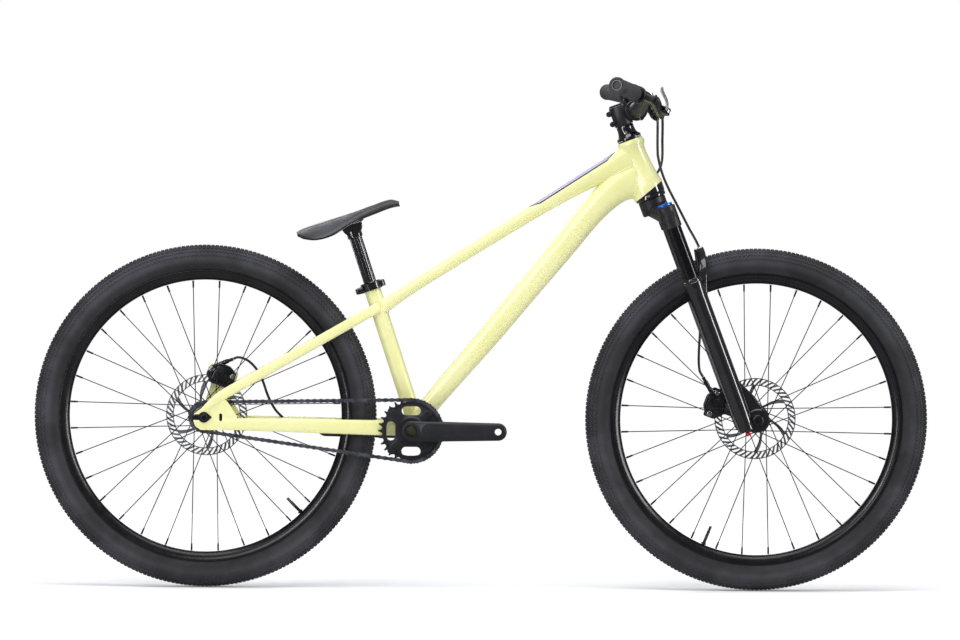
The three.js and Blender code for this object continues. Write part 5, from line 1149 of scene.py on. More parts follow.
def chain():
    """Inner and outer pairs of plates in turn, each with the roller and pin at its start."""
    places = chain_places()
    bodies = []
    for k, (here, onward) in enumerate(zip(places, places[1:] + places[:1])):
        step = onward - here
        middle = (here + onward) / 2 + Vector((0, -chain_line, 0))
        turn = Matrix.Translation(middle) @ Matrix.Rotation(-atan2(step.z, step.x), 4, "Y")
        inside, outside = (3.5, 4.5) if k % 2 else (2.5, 3.45)
        for low, high in ((inside, outside), (-outside, -inside)):
            bodies.append(placed(link_plate(step.length, high, low), turn))
        at = Matrix.Translation(here + Vector((0, -chain_line, 0)))
        bodies.append(placed(pin(roller_radius, -2.6, 2.6, 10), at))
        bodies.append(placed(pin(1.9, -4.9, 4.9, 8), at))
    return gathered(*bodies)


finished("chain", chain(), "frame", chain_steel, ["chain"])


# The axles. Steel rods run through the hubs and end in domed socket bolts. At the rear they
# clamp black teardrop washers whose tails lie in the dropouts' slots, and a tensioner's black
# block shows through the window in front of each.
bolt_steel = coating(
    "bolt_black_steel", tint(28, 28, 31), tint(44, 44, 47), (0.26, 0.4), patch=90,
    relief=(1800, 0.000008), metallic=0.7,
)


def socket_bolt(radius, height, socket=0.45, shank=0, steps=32):
    """A domed bolt that stands on its face, drawn up +Z, with a hexagon socket in its head."""
    head = turned([
        (0, -shank), (radius * 0.5, -shank), (radius * 0.5, 0), (radius, 0), (radius, height * 0.55),
        (radius * 0.86, height * 0.86), (radius * 0.7, height), (0, height),
    ], steps)
    return combined(head, [post(radius * socket, height * 0.35, height * 2, 6)], "DIFFERENCE")


def axle(face, end_radius, end_height):
    """A rod across the wheel with a bolt's head on each dropout or leg."""
    bodies = [pin(4.8, -face, face, 24)]
    for side in (1, -1):
        bolt = placed(socket_bolt(end_radius, end_height), to_left, Matrix.Translation((0, face, 0)))
        bodies.append(bolt if side > 0 else placed(bolt, mirror_side))
    return gathered(*bodies)


def washer(side):
    """A round washer with a point to the front and a tail that fills the slot to the rear, and
    the tensioner's block."""
    drop = strap((0, 0, 10.6), (14, 0, 1.4), 74.8, 76.4, 0.5, "high")
    tail = strap((-20, 0, 3.9), (0, 0, 3.9), 70, 75.4, 0.5, "high")
    bm = gathered(combined(drop, [tail]), block(28, -9, 38, 9, 69, 71.5, 1))
    return bm if side > 0 else placed(bm, mirror_side)


rear_axle = gathered(axle(76.4, 7.4, 4.4), washer(1), washer(-1))
finished(
    "rear_axle", placed(rear_axle, at_rear_hub), "frame", bolt_steel, ["rear_axle"],
)
finished(
    "front_axle", placed(axle(65.4, 12, 5.8), at_front_hub), "lowers", bolt_steel,
    ["front_axle"],
)


# The calipers. Two-piece cast and anodised bodies straddle each rotor's edge on two bolts, with
# a piston's round cap on each side, and the hose screws into a sleeve.
caliper_black = coating(
    "caliper_black", tint(20, 20, 24), tint(30, 30, 34), (0.18, 0.3), patch=60,
    relief=(1500, 0.00001), metallic=0.3,
)


caliper_width, front_caliper_angle = 27, 160


def caliper(angle, port_angle, low_face):
    """The cast body with its lids, piston caps and hose sleeve, and its two bolts apart."""
    inner, outer, half = 63, 105, 30
    high_face = low_face + caliper_width
    body = slab([
        (inner, -16.5), (77.7, -half), (96.6, -24), (outer, -10.5), (outer, 10.5), (96.6, 24),
        (77.7, half), (inner, 16.5),
    ], low_face, high_face, 3.4, 1.8, 3)
    lid = [(70, -17), (100, -12), (100, 12), (70, 17)]
    body = combined(body, [
        slab(lid, low_face - 1.6, low_face + 1, 3, 0.8), slab(lid, high_face - 1, high_face + 1.6, 3, 0.8),
    ])
    gap = block(inner - 9, -40, 82, 40, 39.9, 43.9)
    groove = block(inner - 9, -40, 120, 40, 46.2, 46.8)
    body = combined(body, [gap, groove], "DIFFERENCE")
    core = slab([(70, -20), (100, -14), (100, 14), (70, 20)], 44.5, 48.5, 3, 0)
    cap = placed(turned([
        (0, -1), (10.5, -1), (10.5, 2.5), (9.7, 3.2), (5, 3.2), (4.6, 2.6), (0, 2.6),
    ], 40), to_left)
    high_cap = placed(cap.copy(), Matrix.Translation((80, high_face, 0)))
    low_cap = placed(cap, mirror_side, Matrix.Translation((80, low_face, 0)))
    bolts = [
        placed(socket_bolt(6, 5, shank=14), to_left, mirror_side,
               Matrix.Translation((88.2, low_face + 0.3, z)))
        for z in (-21.6, 21.6)
    ]
    turn = Matrix.Rotation(-radians(angle), 4, "Y")
    sleeve = placed(turned([
        (0, 0), (4.2, 0), (4.2, 16), (4.5, 16.6), (4.5, 26), (3.4, 27), (3.4, 36), (0, 36),
    ], 24), caliper_port(angle, port_angle, low_face))
    cast = gathered(placed(gathered(body, core, high_cap, low_cap), turn), sleeve)
    return cast, placed(gathered(*bolts), turn)


def caliper_port(angle, port_angle, low_face):
    """Where the hose's sleeve starts, with +Z along the hose."""
    lean = 10 if port_angle < 90 else -10
    toward, reach = radians(angle + lean), 98.28
    place = Vector((reach * cos(toward), low_face + caliper_width - 7.2, reach * sin(toward)))
    return Matrix.Translation(place) @ Matrix.Rotation(radians(90 - port_angle), 4, "Y")


caliper_low = rotor_line + rotor_thickness / 2 + caliper_width * 0.62 - caliper_width
for side, place, body, angle, port in (
    ("rear", at_rear_hub, "frame", rear_caliper_angle, 21),
    ("front", at_front_hub, "lowers", front_caliper_angle, 119),
):
    cast, bolts = caliper(angle, port, caliper_low)
    finished(
        f"{side}_caliper", placed(cast, place), body, caliper_black,
        [f"{side}_caliper"],
    )
    finished(f"{side}_caliper_bolts", placed(bolts, place), body, rotor_steel)


# The fork. A forged black crown holds two black stanchions, which slide in one cast magnesium
# piece: two legs joined by an arch, with a round boss at each foot for the axle. The left leg
# carries the caliper's mount.
fork_gloss = coating(
    "fork_gloss_black", tint(13, 13, 16), tint(20, 20, 24), (0.3, 0.4), patch=40,
    relief=(900, 0.000002), Specular_IOR_Level=0.15, Coat_Weight=1, Coat_Roughness=0.03,
)
stanchion_black = coating(
    "stanchion_black", tint(20, 20, 22), tint(26, 26, 28), (0.12, 0.2), patch=120,
    relief=(2600, 0.000003), metallic=0.6,
)
leg_spread, leg_forward = 66, 18
leg_places = [Matrix.Translation((leg_forward, side * leg_spread, 0)) for side in (1, -1)]
axle_place = Matrix.Translation((fork_rake, 0, -fork_length))


def crown():
    """A forged arm from leg to leg, with the steerer above and a socket for each stanchion."""
    half_arm = [
        ((leg_forward, -leg_spread - 15, -45), 22, 28, 2.6),
        ((leg_forward, -leg_spread, -42), 34, 36, 2.6),
        ((13, -36, -33), 40, 33, 2.6),
    ]
    other_half = [((x, -y, z), *rest) for (x, y, z), *rest in reversed(half_arm)]
    arm = drawn([*half_arm, ((4, 0, -22), 46, 29, 2.6), *other_half], 44, 8, across=(1, 0, 0))
    middle = turned([(0, -30), (25, -30), (27, -27), (27, -1), (26, 0), (0, 0)], 64)
    sockets = [
        placed(turned([
            (0, -67), (17.6, -67), (18.5, -66), (18.5, -24.4), (17.2, -23), (0, -23),
        ], 56), place)
        for place in leg_places
    ]
    tools = [placed(post(16.35, -90, -28.6, 56), place) for place in leg_places]
    tools += [placed(post(15.4, -23, 30, 56), place) for place in leg_places]
    solid = combined(arm, [middle, post(14.3, -10, 193, 48), *sockets])
    cap = turned([
        (0, -24), (13, -24), (13, -20.8), (12, -19.3), (9.6, -19), (9.2, -20), (0, -20),
    ], 48)
    return gathered(combined(solid, tools, "DIFFERENCE"), placed(cap, leg_places[0]))


def fork_leg(side):
    """One leg with its boss and the web that leads the boss up into it."""
    place = leg_places[0] if side > 0 else leg_places[1]
    leg = placed(turned([
        (0, -490), (13.6, -490), (15.9, -487.6), (18.4, -444), (18.5, -206), (20.3, -193),
        (20.5, -192), (20.5, -181.2), (19.4, -180), (0, -180),
    ], 72), place)
    boss = placed(turned([
        (0, 50), (22, 50), (23, 51), (23, 63.4), (21.4, 65), (0, 65),
    ], 72), to_left, axle_place)
    web = slab([
        (leg_forward - 6, -fork_length + 96), (leg_forward + 15, -fork_length + 92),
        (fork_rake + 12, -fork_length + 44), (fork_rake + 21, -fork_length + 6),
        (fork_rake - 4, -fork_length - 20), (leg_forward, -fork_length - 8),
    ], 50.5, 63.4, 9, 3.4, 3, 6)
    if side < 0:
        boss, web = placed(boss, mirror_side), placed(web, mirror_side)
    return combined(leg, [boss, web])


def arch():
    """The bridge over the tyre, in front of the legs."""
    spread_shares = [-1, -0.93, -0.7, -0.36, 0, 0.36, 0.7, 0.93, 1]
    rise_shares = [-0.5, 0.1, 0.66, 0.92, 1, 0.92, 0.66, 0.1, -0.5]
    reach_shares = [0.1, 0.4, 0.8, 0.96, 1, 0.96, 0.8, 0.4, 0.1]
    return drawn([
        ((leg_forward + 35 * f, leg_spread * s, -180 + 53 * r - 22 * abs(s)), 20, 12, 3)
        for s, r, f in zip(spread_shares, rise_shares, reach_shares)
    ], 32, 6, across=(1, 0, 0))


def lowers():
    """The arch and legs bored out as one casting, with the caliper's mount and two wiper rings."""
    legs = combined(arch(), [fork_leg(1), fork_leg(-1)])
    tools = []
    for side, place in zip((1, -1), leg_places):
        flip = () if side > 0 else (mirror_side,)
        tools.append(placed(post(16.35, -440, -100, 56), place))
        tools.append(placed(turned([
            (0, 30), (5.2, 30), (5.2, 64.6), (12.6, 64.6), (12.6, 90), (0, 90),
        ], 56), to_left, axle_place, *flip))
        tools.append(placed(turned([
            (15.6, 64.2), (17.4, 64.2), (17.4, 90), (15.6, 90),
        ], 56, closed=True), to_left, axle_place, *flip))
    body = combined(legs, tools, "DIFFERENCE")
    mount = brake_mount(front_caliper_angle, tab_inner, 66.9)
    parts = [combined(body, [placed(mount, at_front_hub, steering.inverted())])]
    for place in leg_places:
        parts.append(placed(turned([
            (16.2, -181), (19.2, -181), (19.2, -177), (17.9, -176), (17.7, -173.6), (16.8, -172.4),
            (16.2, -172.6),
        ], 64, closed=True), place))
    return gathered(*parts)


finished("fork_crown", placed(crown(), steering), "steering", satin_metal, ["fork_crown"])
for side, place in zip(("left", "right"), leg_places):
    tube = turned([(13, -292), (15.4, -292), (16, -291.3), (16, -28.6), (13, -28.6)], 72, closed=True)
    finished(
        f"stanchion_{side}", placed(tube, place, steering), "steering",
        stanchion_black, [f"stanchion_{side}"],
    )
finished(
    "fork_lowers", placed(lowers(), steering), "lowers", fork_gloss, ["fork_lowers"],
    crease=34,
)


# The fork's two knobs. The blue one on the right crown locks the spring, and the red one under
# the right leg sets how fast it comes back. Both are turned from aluminium and anodised.
blue_anodised = coating(
    "blue_anodised", tint(22, 96, 190), tint(34, 116, 214), (0.24, 0.34), patch=120,
    relief=(2200, 0.000006), metallic=0.55,
)
red_anodised = coating(
    "red_anodised", tint(208, 24, 36), tint(226, 40, 50), (0.24, 0.34), patch=160,
    relief=(2200, 0.000006), metallic=0.45,
)


def knob(radius, low, top, ribs, depth, crown):
    """A turned knob with a knurled edge, with every other face round it pushed in."""
    bm = turned([
        (0, low), (radius - 0.5, low), (radius, low + 0.5), (radius, top - crown), (radius * 0.82, top),
        (radius * 0.3, top), (radius * 0.26, top - crown), (0, top - crown),
    ], ribs * 2)
    sides = [f for f in bm.faces if abs(f.normal.z) < 0.3 and round_place(f)[0] > radius * 0.9]
    sides.sort(key=lambda f: round_place(f)[1])
    bmesh.ops.inset_individual(bm, faces=sides[::2], thickness=0.15, depth=-depth)
    return bm


lockout = gathered(
    knob(15, -22.7, -16.9, 20, 0.7, 1.6),
    placed(slab([(-11, -2.2), (11, -1.5), (11, 1.5), (-11, 2.2)], 0, 1.7, 0.8, 0.4),
           Matrix.Rotation(pi / 2, 4, "X"), Matrix.Translation((0, 0, -18.4))),
)
finished(
    "lockout_knob", placed(lockout, leg_places[1], steering), "lockout", blue_anodised,
    ["lockout_knob"],
)
finished(
    "rebound_knob", placed(knob(4.5, -499.2, -490.4, 9, 0.5, 1.2), leg_places[1], steering), "rebound",
    red_anodised, ["rebound_knob"],
)


# The headset. Bearing cups of black aluminium pressed in each end of the head tube, and a tall
# glossy cone that covers the upper one and spaces the stem.
gloss_black = coating(
    "gloss_black_parts", tint(20, 20, 23), tint(28, 28, 31), (0.1, 0.2), patch=60,
    relief=(1200, 0.000003), metallic=0.3, Coat_Weight=0.8, Coat_Roughness=0.03,
)
lower_cup = turned([
    (27.5, 0.4), (29.2, 0.4), (30, 1.4), (30, 9.2), (29.4, 10), (28, 10), (27.6, 12.6), (20.4, 12.6),
    (20.4, 2), (27.5, 2),
], 80, closed=True)
cup_skirt = turned([
    (20.4, 9), (30.4, 9), (30.9, 9.6), (31.4, 30), (20.4, 30),
], 80, closed=True)
lower_cup = gathered(lower_cup, cut_on_slant(cup_skirt, False))
finished(
    "headset_lower_cup", placed(lower_cup, steering), "frame", gloss_black,
    ["headset_lower_cup"],
)
upper_cup = turned([
    (16, 113), (20, 113), (20, 122.5), (23, 122.5), (24, 123.2), (24, 124.2), (23.4, 124.7), (16, 124.7),
], 80, closed=True)
finished(
    "headset_upper_cup", placed(upper_cup, steering), "frame", gloss_black,
    ["headset_upper_cup"],
)
cover = turned([
    (14.6, 125.3), (23.6, 125.3), (24.3, 126), (24.3, 128.6), (23.4, 130.2), (20.6, 132.6),
    (18.6, 136), (17.4, 140.5), (17, 145), (17, 151.6), (16.4, 153.1), (14.6, 153.1),
], 80, closed=True)
groove = turned([(16.7, 145.6), (20, 145.6), (20, 146.2), (16.7, 146.2)], 80, closed=True)
finished(
    "headset_cover", placed(combined(cover, [groove], "DIFFERENCE"), steering), "steering",
    gloss_black, ["headset_cover"],
)


# The stem. A forged and machined block, clamped on the steerer by two bolts through lugs behind
# it. A plate with four bolts holds the bar in front, and a cap closes the top.
bar_height, bar_forward = 173.4, 33
lug_back, lug_heights = -21, (163, 183.8)
at_bar = Matrix.Translation((bar_forward, 0, bar_height))


def stem():
    """The clamp, neck and bar seat as one block, bored for steerer and bar and split behind."""
    clamp = turned([(0, 153.5), (17.9, 153.5), (18.5, 154.3), (18.5, 192.4), (17.9, 193.3), (0, 193.3)], 64)
    neck = drawn([
        ((0, 0, bar_height), 30, 33, 3.2), ((12, 0, bar_height), 31, 32, 3),
        ((22, 0, bar_height), 38, 33, 3), ((31, 0, bar_height), 43.6, 38, 3.4),
    ], 44, 6)
    eye = placed(turned([
        (0, -22), (20, -22), (21.2, -20.8), (21.2, 20.8), (20, 22), (0, 22),
    ], 64), to_left, at_bar)
    bodies = [neck, eye]
    for height in lug_heights:
        bodies.append(placed(turned([
            (0, -12), (4.9, -12), (5.5, -11.4), (5.5, 11.4), (4.9, 12), (0, 12),
        ], 32), to_left, Matrix.Translation((lug_back, 0, height))))
        bodies.append(slab([
            (lug_back, height - 5), (-8, height - 6.4), (-8, height + 6.4), (lug_back, height + 5),
        ], -11, 11, 0, 1))
    in_front = block(32.3, -60, 80, 60, -60, 60)
    tools = [
        post(14.6, 140, 220, 56), placed(pin(16.2, -40, 40, 64), at_bar),
        placed(in_front, Matrix.Translation((0, 0, bar_height))), block(-60, 120, 0, 230, -1, 1),
    ]
    return combined(combined(clamp, bodies), tools, "DIFFERENCE")


def stem_bolts():
    """A head at both ends of each lug."""
    bodies = []
    for height in lug_heights:
        bolt = placed(socket_bolt(3.7, 2.6), to_left, Matrix.Translation((lug_back, 11.6, height)))
        bodies += [bolt, placed(bolt.copy(), mirror_side)]
    return gathered(*bodies)


def faceplate():
    """The front half of the bar seat, with a window between two pads and a bolt at each corner."""
    bolt_rises, toward_front = (18.2, -18.2), Matrix.Rotation(pi / 2, 4, "Y")
    shell = placed(turned([
        (16.2, -22), (20, -22), (21.2, -20.8), (21.2, 20.8), (20, 22), (16.2, 22),
    ], 72, closed=True), to_left)
    tools = [block(-60, -60, 1, 60, -60, 60), block(10, -9.4, 60, 9.4, -13, 13, 4)]
    pads = [block(1.2, up - 4.4, 5.4, up + 4.4, -22, 22, ease=1) for up in bolt_rises]
    plate = combined(combined(shell, tools, "DIFFERENCE"), pads)
    bodies = [combined(plate, [pin(16.2, -40, 40, 64)], "DIFFERENCE")]
    for up in bolt_rises:
        for y in (-16, 16):
            bodies.append(placed(socket_bolt(3.4, 2.6), toward_front, Matrix.Translation((5, y, up))))
    return placed(gathered(*bodies), at_bar)


finished(
    "stem", placed(gathered(stem(), stem_bolts()), steering), "steering", satin_metal,
    ["stem"],
)
finished(
    "stem_faceplate", placed(faceplate(), steering), "steering", satin_metal,
    ["stem_faceplate"],
)
cap = gathered(turned([
    (0, 193.6), (16, 193.6), (17, 194.4), (17, 195.8), (15.6, 197.4), (8, 197.5), (7, 196.4),
    (0, 196.4),
], 64), placed(socket_bolt(4.6, 1.2), Matrix.Translation((0, 0, 196.3))))
finished("stem_cap", placed(cap, steering), "steering", satin_metal, ["stem_top_cap"])


# The bar. One butted aluminium tube, thick where the stem holds it, bent up and swept back to
# the grips.
bend_point = Vector((54, 150, 188.4))
bar_end = Vector((1, 370, 229.4))
bar_line = (bar_end - bend_point).normalized()
bar_across = (Vector((1, 0, 0)) - bar_line * bar_line.x).normalized()
grip_frame = steering @ Matrix.Translation(bend_point) @ Matrix(
    (bar_across, bar_line, bar_across.cross(bar_line))
).transposed().to_4x4()
bar_reach = (bar_end - bend_point).length


def handlebar():
    """One half from the stem to the end, and the other half mirrored in front of it."""
    spread_shares = [0, 0.32, 0.5, 0.72, 0.86, 1]
    rise_shares = [0, 0, 0.08, 0.5, 0.82, 1]
    thick = [31.8, 31.8, 30.4, 26, 23.4, 22.2]
    half = [
        ((bar_forward + 21 * r, 150 * s, bar_height + 15 * r), w, w)
        for s, r, w in zip(spread_shares, rise_shares, thick)
    ]
    half += [(bend_point + bar_line * reach, 22.2, 22.2) for reach in (60, 150, bar_reach - 3)]
    other = [((p[0], -p[1], p[2]), w, d) for p, w, d in reversed(half[1:])]
    return drawn(other + half, 40, 5, across=(1, 0, 0))


finished(
    "handlebar", placed(handlebar(), steering), "steering", satin_metal, ["handlebar"],
)


# The grips. Moulded black rubber sleeves with fine ribs, a low flange at each end, and a hard
# plug that closes the bar.
rubber_grip = coating(
    "grip_rubber_black", tint(46, 46, 51), tint(60, 60, 66), (0.6, 0.78), patch=34,
    relief=(1600, 0.00005),
)


def grip():
    """A sleeve with a rib every few millimetres and a flange at each end."""
    low = bar_reach - 130
    profile = [(11.4, low), (15.2, low), (15.9, low + 0.8), (15.9, low + 7), (15, low + 8.4)]
    rib = low + 12
    while rib < bar_reach - 12:
        profile += [(14.3, rib), (14.8, rib + 0.5), (14.8, rib + 1.7), (14.3, rib + 2.2)]
        rib += 2.9
    profile += [
        (14.6, bar_reach - 8), (16, bar_reach - 5), (16.1, bar_reach - 2.4), (15.3, bar_reach - 1),
        (13.6, bar_reach), (11.6, bar_reach - 0.4), (11.4, bar_reach - 2),
    ]
    return placed(turned(profile, 56, closed=True), to_left)


def bar_plug():
    """A dished cap that ends level with the grip."""
    return placed(turned([
        (0, bar_reach - 9), (11.2, bar_reach - 9), (11.2, bar_reach - 0.6), (10.4, bar_reach + 0.2),
        (8.2, bar_reach + 0.2), (7.6, bar_reach - 0.6), (7.2, bar_reach - 5), (0, bar_reach - 5.4),
    ], 48), to_left)


for side, flip in (("left", ()), ("right", (mirror_side,))):
    finished(
        f"grip_{side}", placed(grip(), grip_frame, *flip), "steering", rubber_grip,
        [f"grip_{side}"], crease=30,
    )
    finished(
        f"bar_plug_{side}", placed(bar_plug(), grip_frame, *flip), "steering",
        gloss_black,
    )


# The brake levers. A cast black body with its master cylinder, held on the bar by a hinged band
# and a bolt, and a forged silver blade for two fingers on a pin.
lever_black = coating(
    "lever_black", tint(24, 24, 27), tint(34, 34, 37), (0.26, 0.4), patch=60,
    relief=(1600, 0.00001), metallic=0.3,
)
blade_silver = coating(
    "blade_silver", tint(176, 178, 184), tint(206, 208, 212), (0.2, 0.34), patch=80,
    relief=(2200, 0.000006), metallic=0.85,
)
from_bend, lever_roll, lever_cant = 68, 36.5, 17.5
clamp_frame = grip_frame @ Matrix.Translation((0, from_bend, 0))
clamp_frame = clamp_frame @ Matrix.Rotation(radians(lever_roll), 4, "Y")
lever_frame = clamp_frame @ Matrix.Rotation(radians(lever_cant), 4, "X")
pivot_out, pivot_along = 50, -54


def lever_body():
    """Drawn in the lever's own frame, with the cylinder along Y and the blade's pin along Z."""
    cylinder_out = 34
    at_cylinder = Matrix.Translation((cylinder_out, 0, 0))
    cylinder = placed(turned([
        (0, -84), (6.4, -84), (7.4, -83), (7.4, -76), (8.4, -75), (9, -72), (9, -12), (8.4, -8),
        (6, -6), (0, -6),
    ], 48), to_left, at_cylinder)
    tank = drawn([
        ((30, -70, 4), 13, 12, 2.8), ((29, -62, 5), 17, 17, 3), ((28.6, -40, 5.6), 18, 19, 3),
        ((29, -22, 5), 17, 17, 3), ((30, -13, 4), 13, 12, 2.8),
    ], 32, 5, across=(1, 0, 0))
    neck = drawn([
        ((12, -5, 0), 17, 13, 3), ((20, -8, 0), 20, 13, 3), ((30, -12, 0), 26, 14, 3),
    ], 32, 5)
    nose = placed(slab([
        (36, -68), (46, -66), (56.6, -60), (57.4, -54), (56.6, -48), (46, -43), (36, -41),
    ], -6.3, 6.3, 4, 1.4), to_left)
    slot = placed(block(43.2, -90, 90, -20, -3.3, 3.3), to_left)
    body = combined(combined(cylinder, [tank, neck, nose]), [slot], "DIFFERENCE")
    pivot = placed(socket_bolt(3.6, 1.6, shank=9), Matrix.Translation((pivot_out, pivot_along, 6.1)))
    lid_bolts = []
    for along in (-60, -22):
        on_lid = Matrix.Translation((28.6, along, 15 - abs(along + 40) * 0.03))
        lid_bolts.append(placed(socket_bolt(2.2, 1.2), on_lid))
    nut = turned([(2.8, -96), (4.2, -96), (4.8, -95), (4.8, -85), (4.4, -84), (2.8, -84)], 6, closed=True)
    return gathered(body, pivot, *lid_bolts, placed(nut, to_left, at_cylinder))


def lever_clamp():
    """The band round the bar, with its split lug and the bolt that closes it."""
    band = placed(turned([
        (11.4, -6), (15, -6), (16, -5), (16, 5), (15, 6), (11.4, 6),
    ], 56, closed=True), to_left)
    lug = slab([(-15, -9.5), (-3, -18), (4, -18), (13, -12), (13, -4), (-13, -4)], -5, 5, 2, 1)
    tools = [pin(11.3, -30, 30, 56), block(-1, -40, 1, -8, -30, 30)]
    body = combined(combined(band, [lug]), tools, "DIFFERENCE")
    bolt = placed(
        socket_bolt(3, 3, shank=14), Matrix.Rotation(-pi / 2, 4, "Y"),
        Matrix.Translation((-6.6, 0, -14)),
    )
    return gathered(body, bolt)


def lever_blade():
    """A hooked blade on a round boss, with four shallow dents along it."""
    blade_length, blade_out = 124, 11
    along_shares = [0.02, 0.16, 0.38, 0.62, 0.85, 0.97]
    out_shares = [0.05, 0.35, 0.8, 0.86, 0.74, 0.96]
    depths = [6, 5.8, 5.2, 5.4, 6, 4.8]
    blade = drawn([
        ((pivot_out + blade_out * o, pivot_along + blade_length * a, 0), 5.8, d, 2.7)
        for a, o, d in zip(along_shares, out_shares, depths)
    ], 28, 7, across=(0, 0, 1))
    at_pivot = Matrix.Translation((pivot_out, pivot_along, 0))
    boss = turned([(0, -2.9), (6.2, -2.9), (6.6, -2.5), (6.6, 2.5), (6.2, 2.9), (0, 2.9)], 40)
    body = combined(blade, [placed(boss, at_pivot)])
    tools = [placed(post(2.9, -9, 9, 24), at_pivot)]
    for share in (0.34, 0.44, 0.54, 0.64):
        on_blade = Matrix.Translation((pivot_out + 9.2, pivot_along + blade_length * share, 0))
        tools.append(placed(post(2.2, 2.3, 9, 24), on_blade))
    return combined(body, tools, "DIFFERENCE")


for side, flip in (("left", ()), ("right", (mirror_side,))):
    body = placed(lever_body(), lever_frame, *flip)
    clamp = placed(lever_clamp(), clamp_frame, *flip)
    finished(
        f"lever_body_{side}", gathered(body, clamp), "steering", lever_black,
        [f"lever_body_{side}"],
    )
    finished(
        f"lever_blade_{side}", placed(lever_blade(), lever_frame, *flip), f"brake_lever_{side}",
        blade_silver, [f"lever_blade_{side}"],
    )


# The seat clamp and post. A split aluminium collar closes on the seat tube with a bolt behind
# it, and the post is an extruded tube with long flutes and a ribbed drum for its head.
post_black = coating(
    "post_gloss_black", tint(20, 20, 23), tint(28, 28, 31), (0.12, 0.22), patch=50,
    relief=(1200, 0.000003), metallic=0.4, Coat_Weight=0.8, Coat_Roughness=0.04,
)


def seat_collar():
    """The ring with a thick side, its two split lugs, and the bolt and nut between them."""
    ring = turned([
        (16.1, 288.5), (19.4, 288.5), (20.2, 289.3), (20.2, 291), (19.4, 291.8), (19.4, 300.6),
        (20.2, 301.4), (20.2, 303.6), (19.2, 304.8), (13.2, 305.2), (12.9, 304.4), (16.1, 304.3),
    ], 72, closed=True)
    lobe = placed(
        strap((14, 0, 11), (19.5, 0, 8.5), -303.4, -290, 1.4, "low", 1.2),
        Matrix.Rotation(pi / 2, 4, "X"), Matrix.Scale(-1, 4, (0, 0, 1)),
    )
    lug = [(-32.5, 288.6), (-14, 287.2), (-14, 301.8), (-32.5, 300.4)]
    lugs = [slab(lug, low, low + 6.4, 2.4, 1) for low in (-8, 1.6)]
    tools = [block(-50, 280, -10, 310, -1.5, 1.5), post(16, 280, 304.2, 64)]
    body = combined(combined(ring, [lobe, *lugs]), tools, "DIFFERENCE")
    bolt_back, bolt_height = -26, 294.5
    at_bolt = Matrix.Translation((bolt_back, 0, bolt_height))
    bolt = placed(pin(2.6, -9, 9, 20), at_bolt)
    on_lug = Matrix.Translation((bolt_back, -8, bolt_height))
    head = placed(socket_bolt(4.6, 2.4), to_left, mirror_side, on_lug)
    nut = turned([(2, 8), (4.6, 8), (4.6, 10.6), (2, 10.6)], 6, closed=True)
    return gathered(body, bolt, head, placed(nut, to_left, at_bolt))


saddle_tilt = Matrix.Rotation(radians(0.7), 4, "Y")


def all_above(height):
    """What lies above the post's head, which is cut flat on the saddle's tilt, as a tool."""
    return placed(block(-60, 0, 60, 90, -60, 60), saddle_tilt, Matrix.Translation((0, 0, height)))


def seatpost():
    """A tube with ten flutes drawn its whole length, a collar and a ribbed half drum on top."""
    flutes, drum_height = 10, 421
    bm = bmesh.new()
    ring = bmesh.ops.create_circle(bm, cap_ends=True, segments=120, radius=12.7)["verts"]
    bmesh.ops.translate(bm, verts=ring, vec=(0, 0, 188))
    for v in bm.verts:
        wave = max(0, cos(flutes * atan2(v.co.y, v.co.x)) - 0.15) / 0.85
        v.co.xy *= 1 - 0.085 * wave ** 0.6
    thickened(bm, (0, 0, 214))
    drum = placed(turned([
        (0, -13), (19, -13), (20.4, -11.6), (20.4, 11.6), (19, 13), (0, 13),
    ], 90), to_left, Matrix.Translation((0, 0, drum_height)))
    ribs = [f for f in drum.faces if f.normal.y ** 2 < 0.1 and f.calc_center_median().z < 425]
    ribs.sort(key=lambda f: atan2(f.calc_center_median().x, drum_height - f.calc_center_median().z))
    bmesh.ops.inset_individual(drum, faces=ribs[::2], thickness=0.2, depth=-1)
    collar = turned([(0, 396), (13.4, 396), (15, 398), (15, 410), (0, 410)], 48)
    return combined(bm, [combined(combined(drum, [collar]), [all_above(424)], "DIFFERENCE")])


finished(
    "seat_collar", placed(seat_collar(), seating), "frame", post_black,
    ["seat_collar"],
)
finished(
    "seatpost", placed(seatpost(), seating), "seat", post_black, ["seatpost"],
    crease=30,
)


# The saddle. A dense foam pad under a stretched synthetic cover, its edge rolled over a moulded
# plastic base that shows as a thin dark rim, on a boss that sits on the post's ribbed head. One
# long bolt through a hole in the top holds it.
saddle_frame = seating @ Matrix.Translation((0, 0, 441)) @ saddle_tilt
saddle_length, saddle_width, saddle_thickness = 209, 142, 15
behind_bolt, saddle_droop, saddle_sag = 107, 21.5, 15
cover_cloth = coating(
    "saddle_cover_black", tint(52, 52, 58), tint(64, 64, 70), (0.42, 0.56), patch=22,
    relief=(900, 0.00001),
)
along_shares = [0, 0.05, 0.16, 0.3, 0.46, 0.6, 0.78, 0.93, 1]
width_shares = [0.34, 0.72, 0.98, 1, 0.74, 0.44, 0.3, 0.27, 0.17]
droop_shares = [0.1, 0.5, 0.95, 1, 0.55, 0.22, 0.1, 0.1, 0.04]
thick_shares = [0.2, 0.6, 0.86, 1, 1.05, 1.1, 1.1, 0.95, 0.4]
sag_shares = [0.1, 0.12, 0.16, 0.2, 0.24, 0.22, 0.1, 0.02, 0.3]


def saddle_layer(width_share, drop, thickness, square=2.2, sides=64):
    """The saddle's form from its tail to its nose, or a narrower layer that lies under it."""
    rows = zip(along_shares, width_shares, droop_shares, thick_shares, sag_shares)
    return drawn([
        ((saddle_length * a - behind_bolt, 0, -saddle_sag * g - drop), saddle_width * w * width_share,
         thickness(t), square, saddle_droop * d * width_share ** 2)
        for a, w, d, t, g in rows
    ], sides, 8)


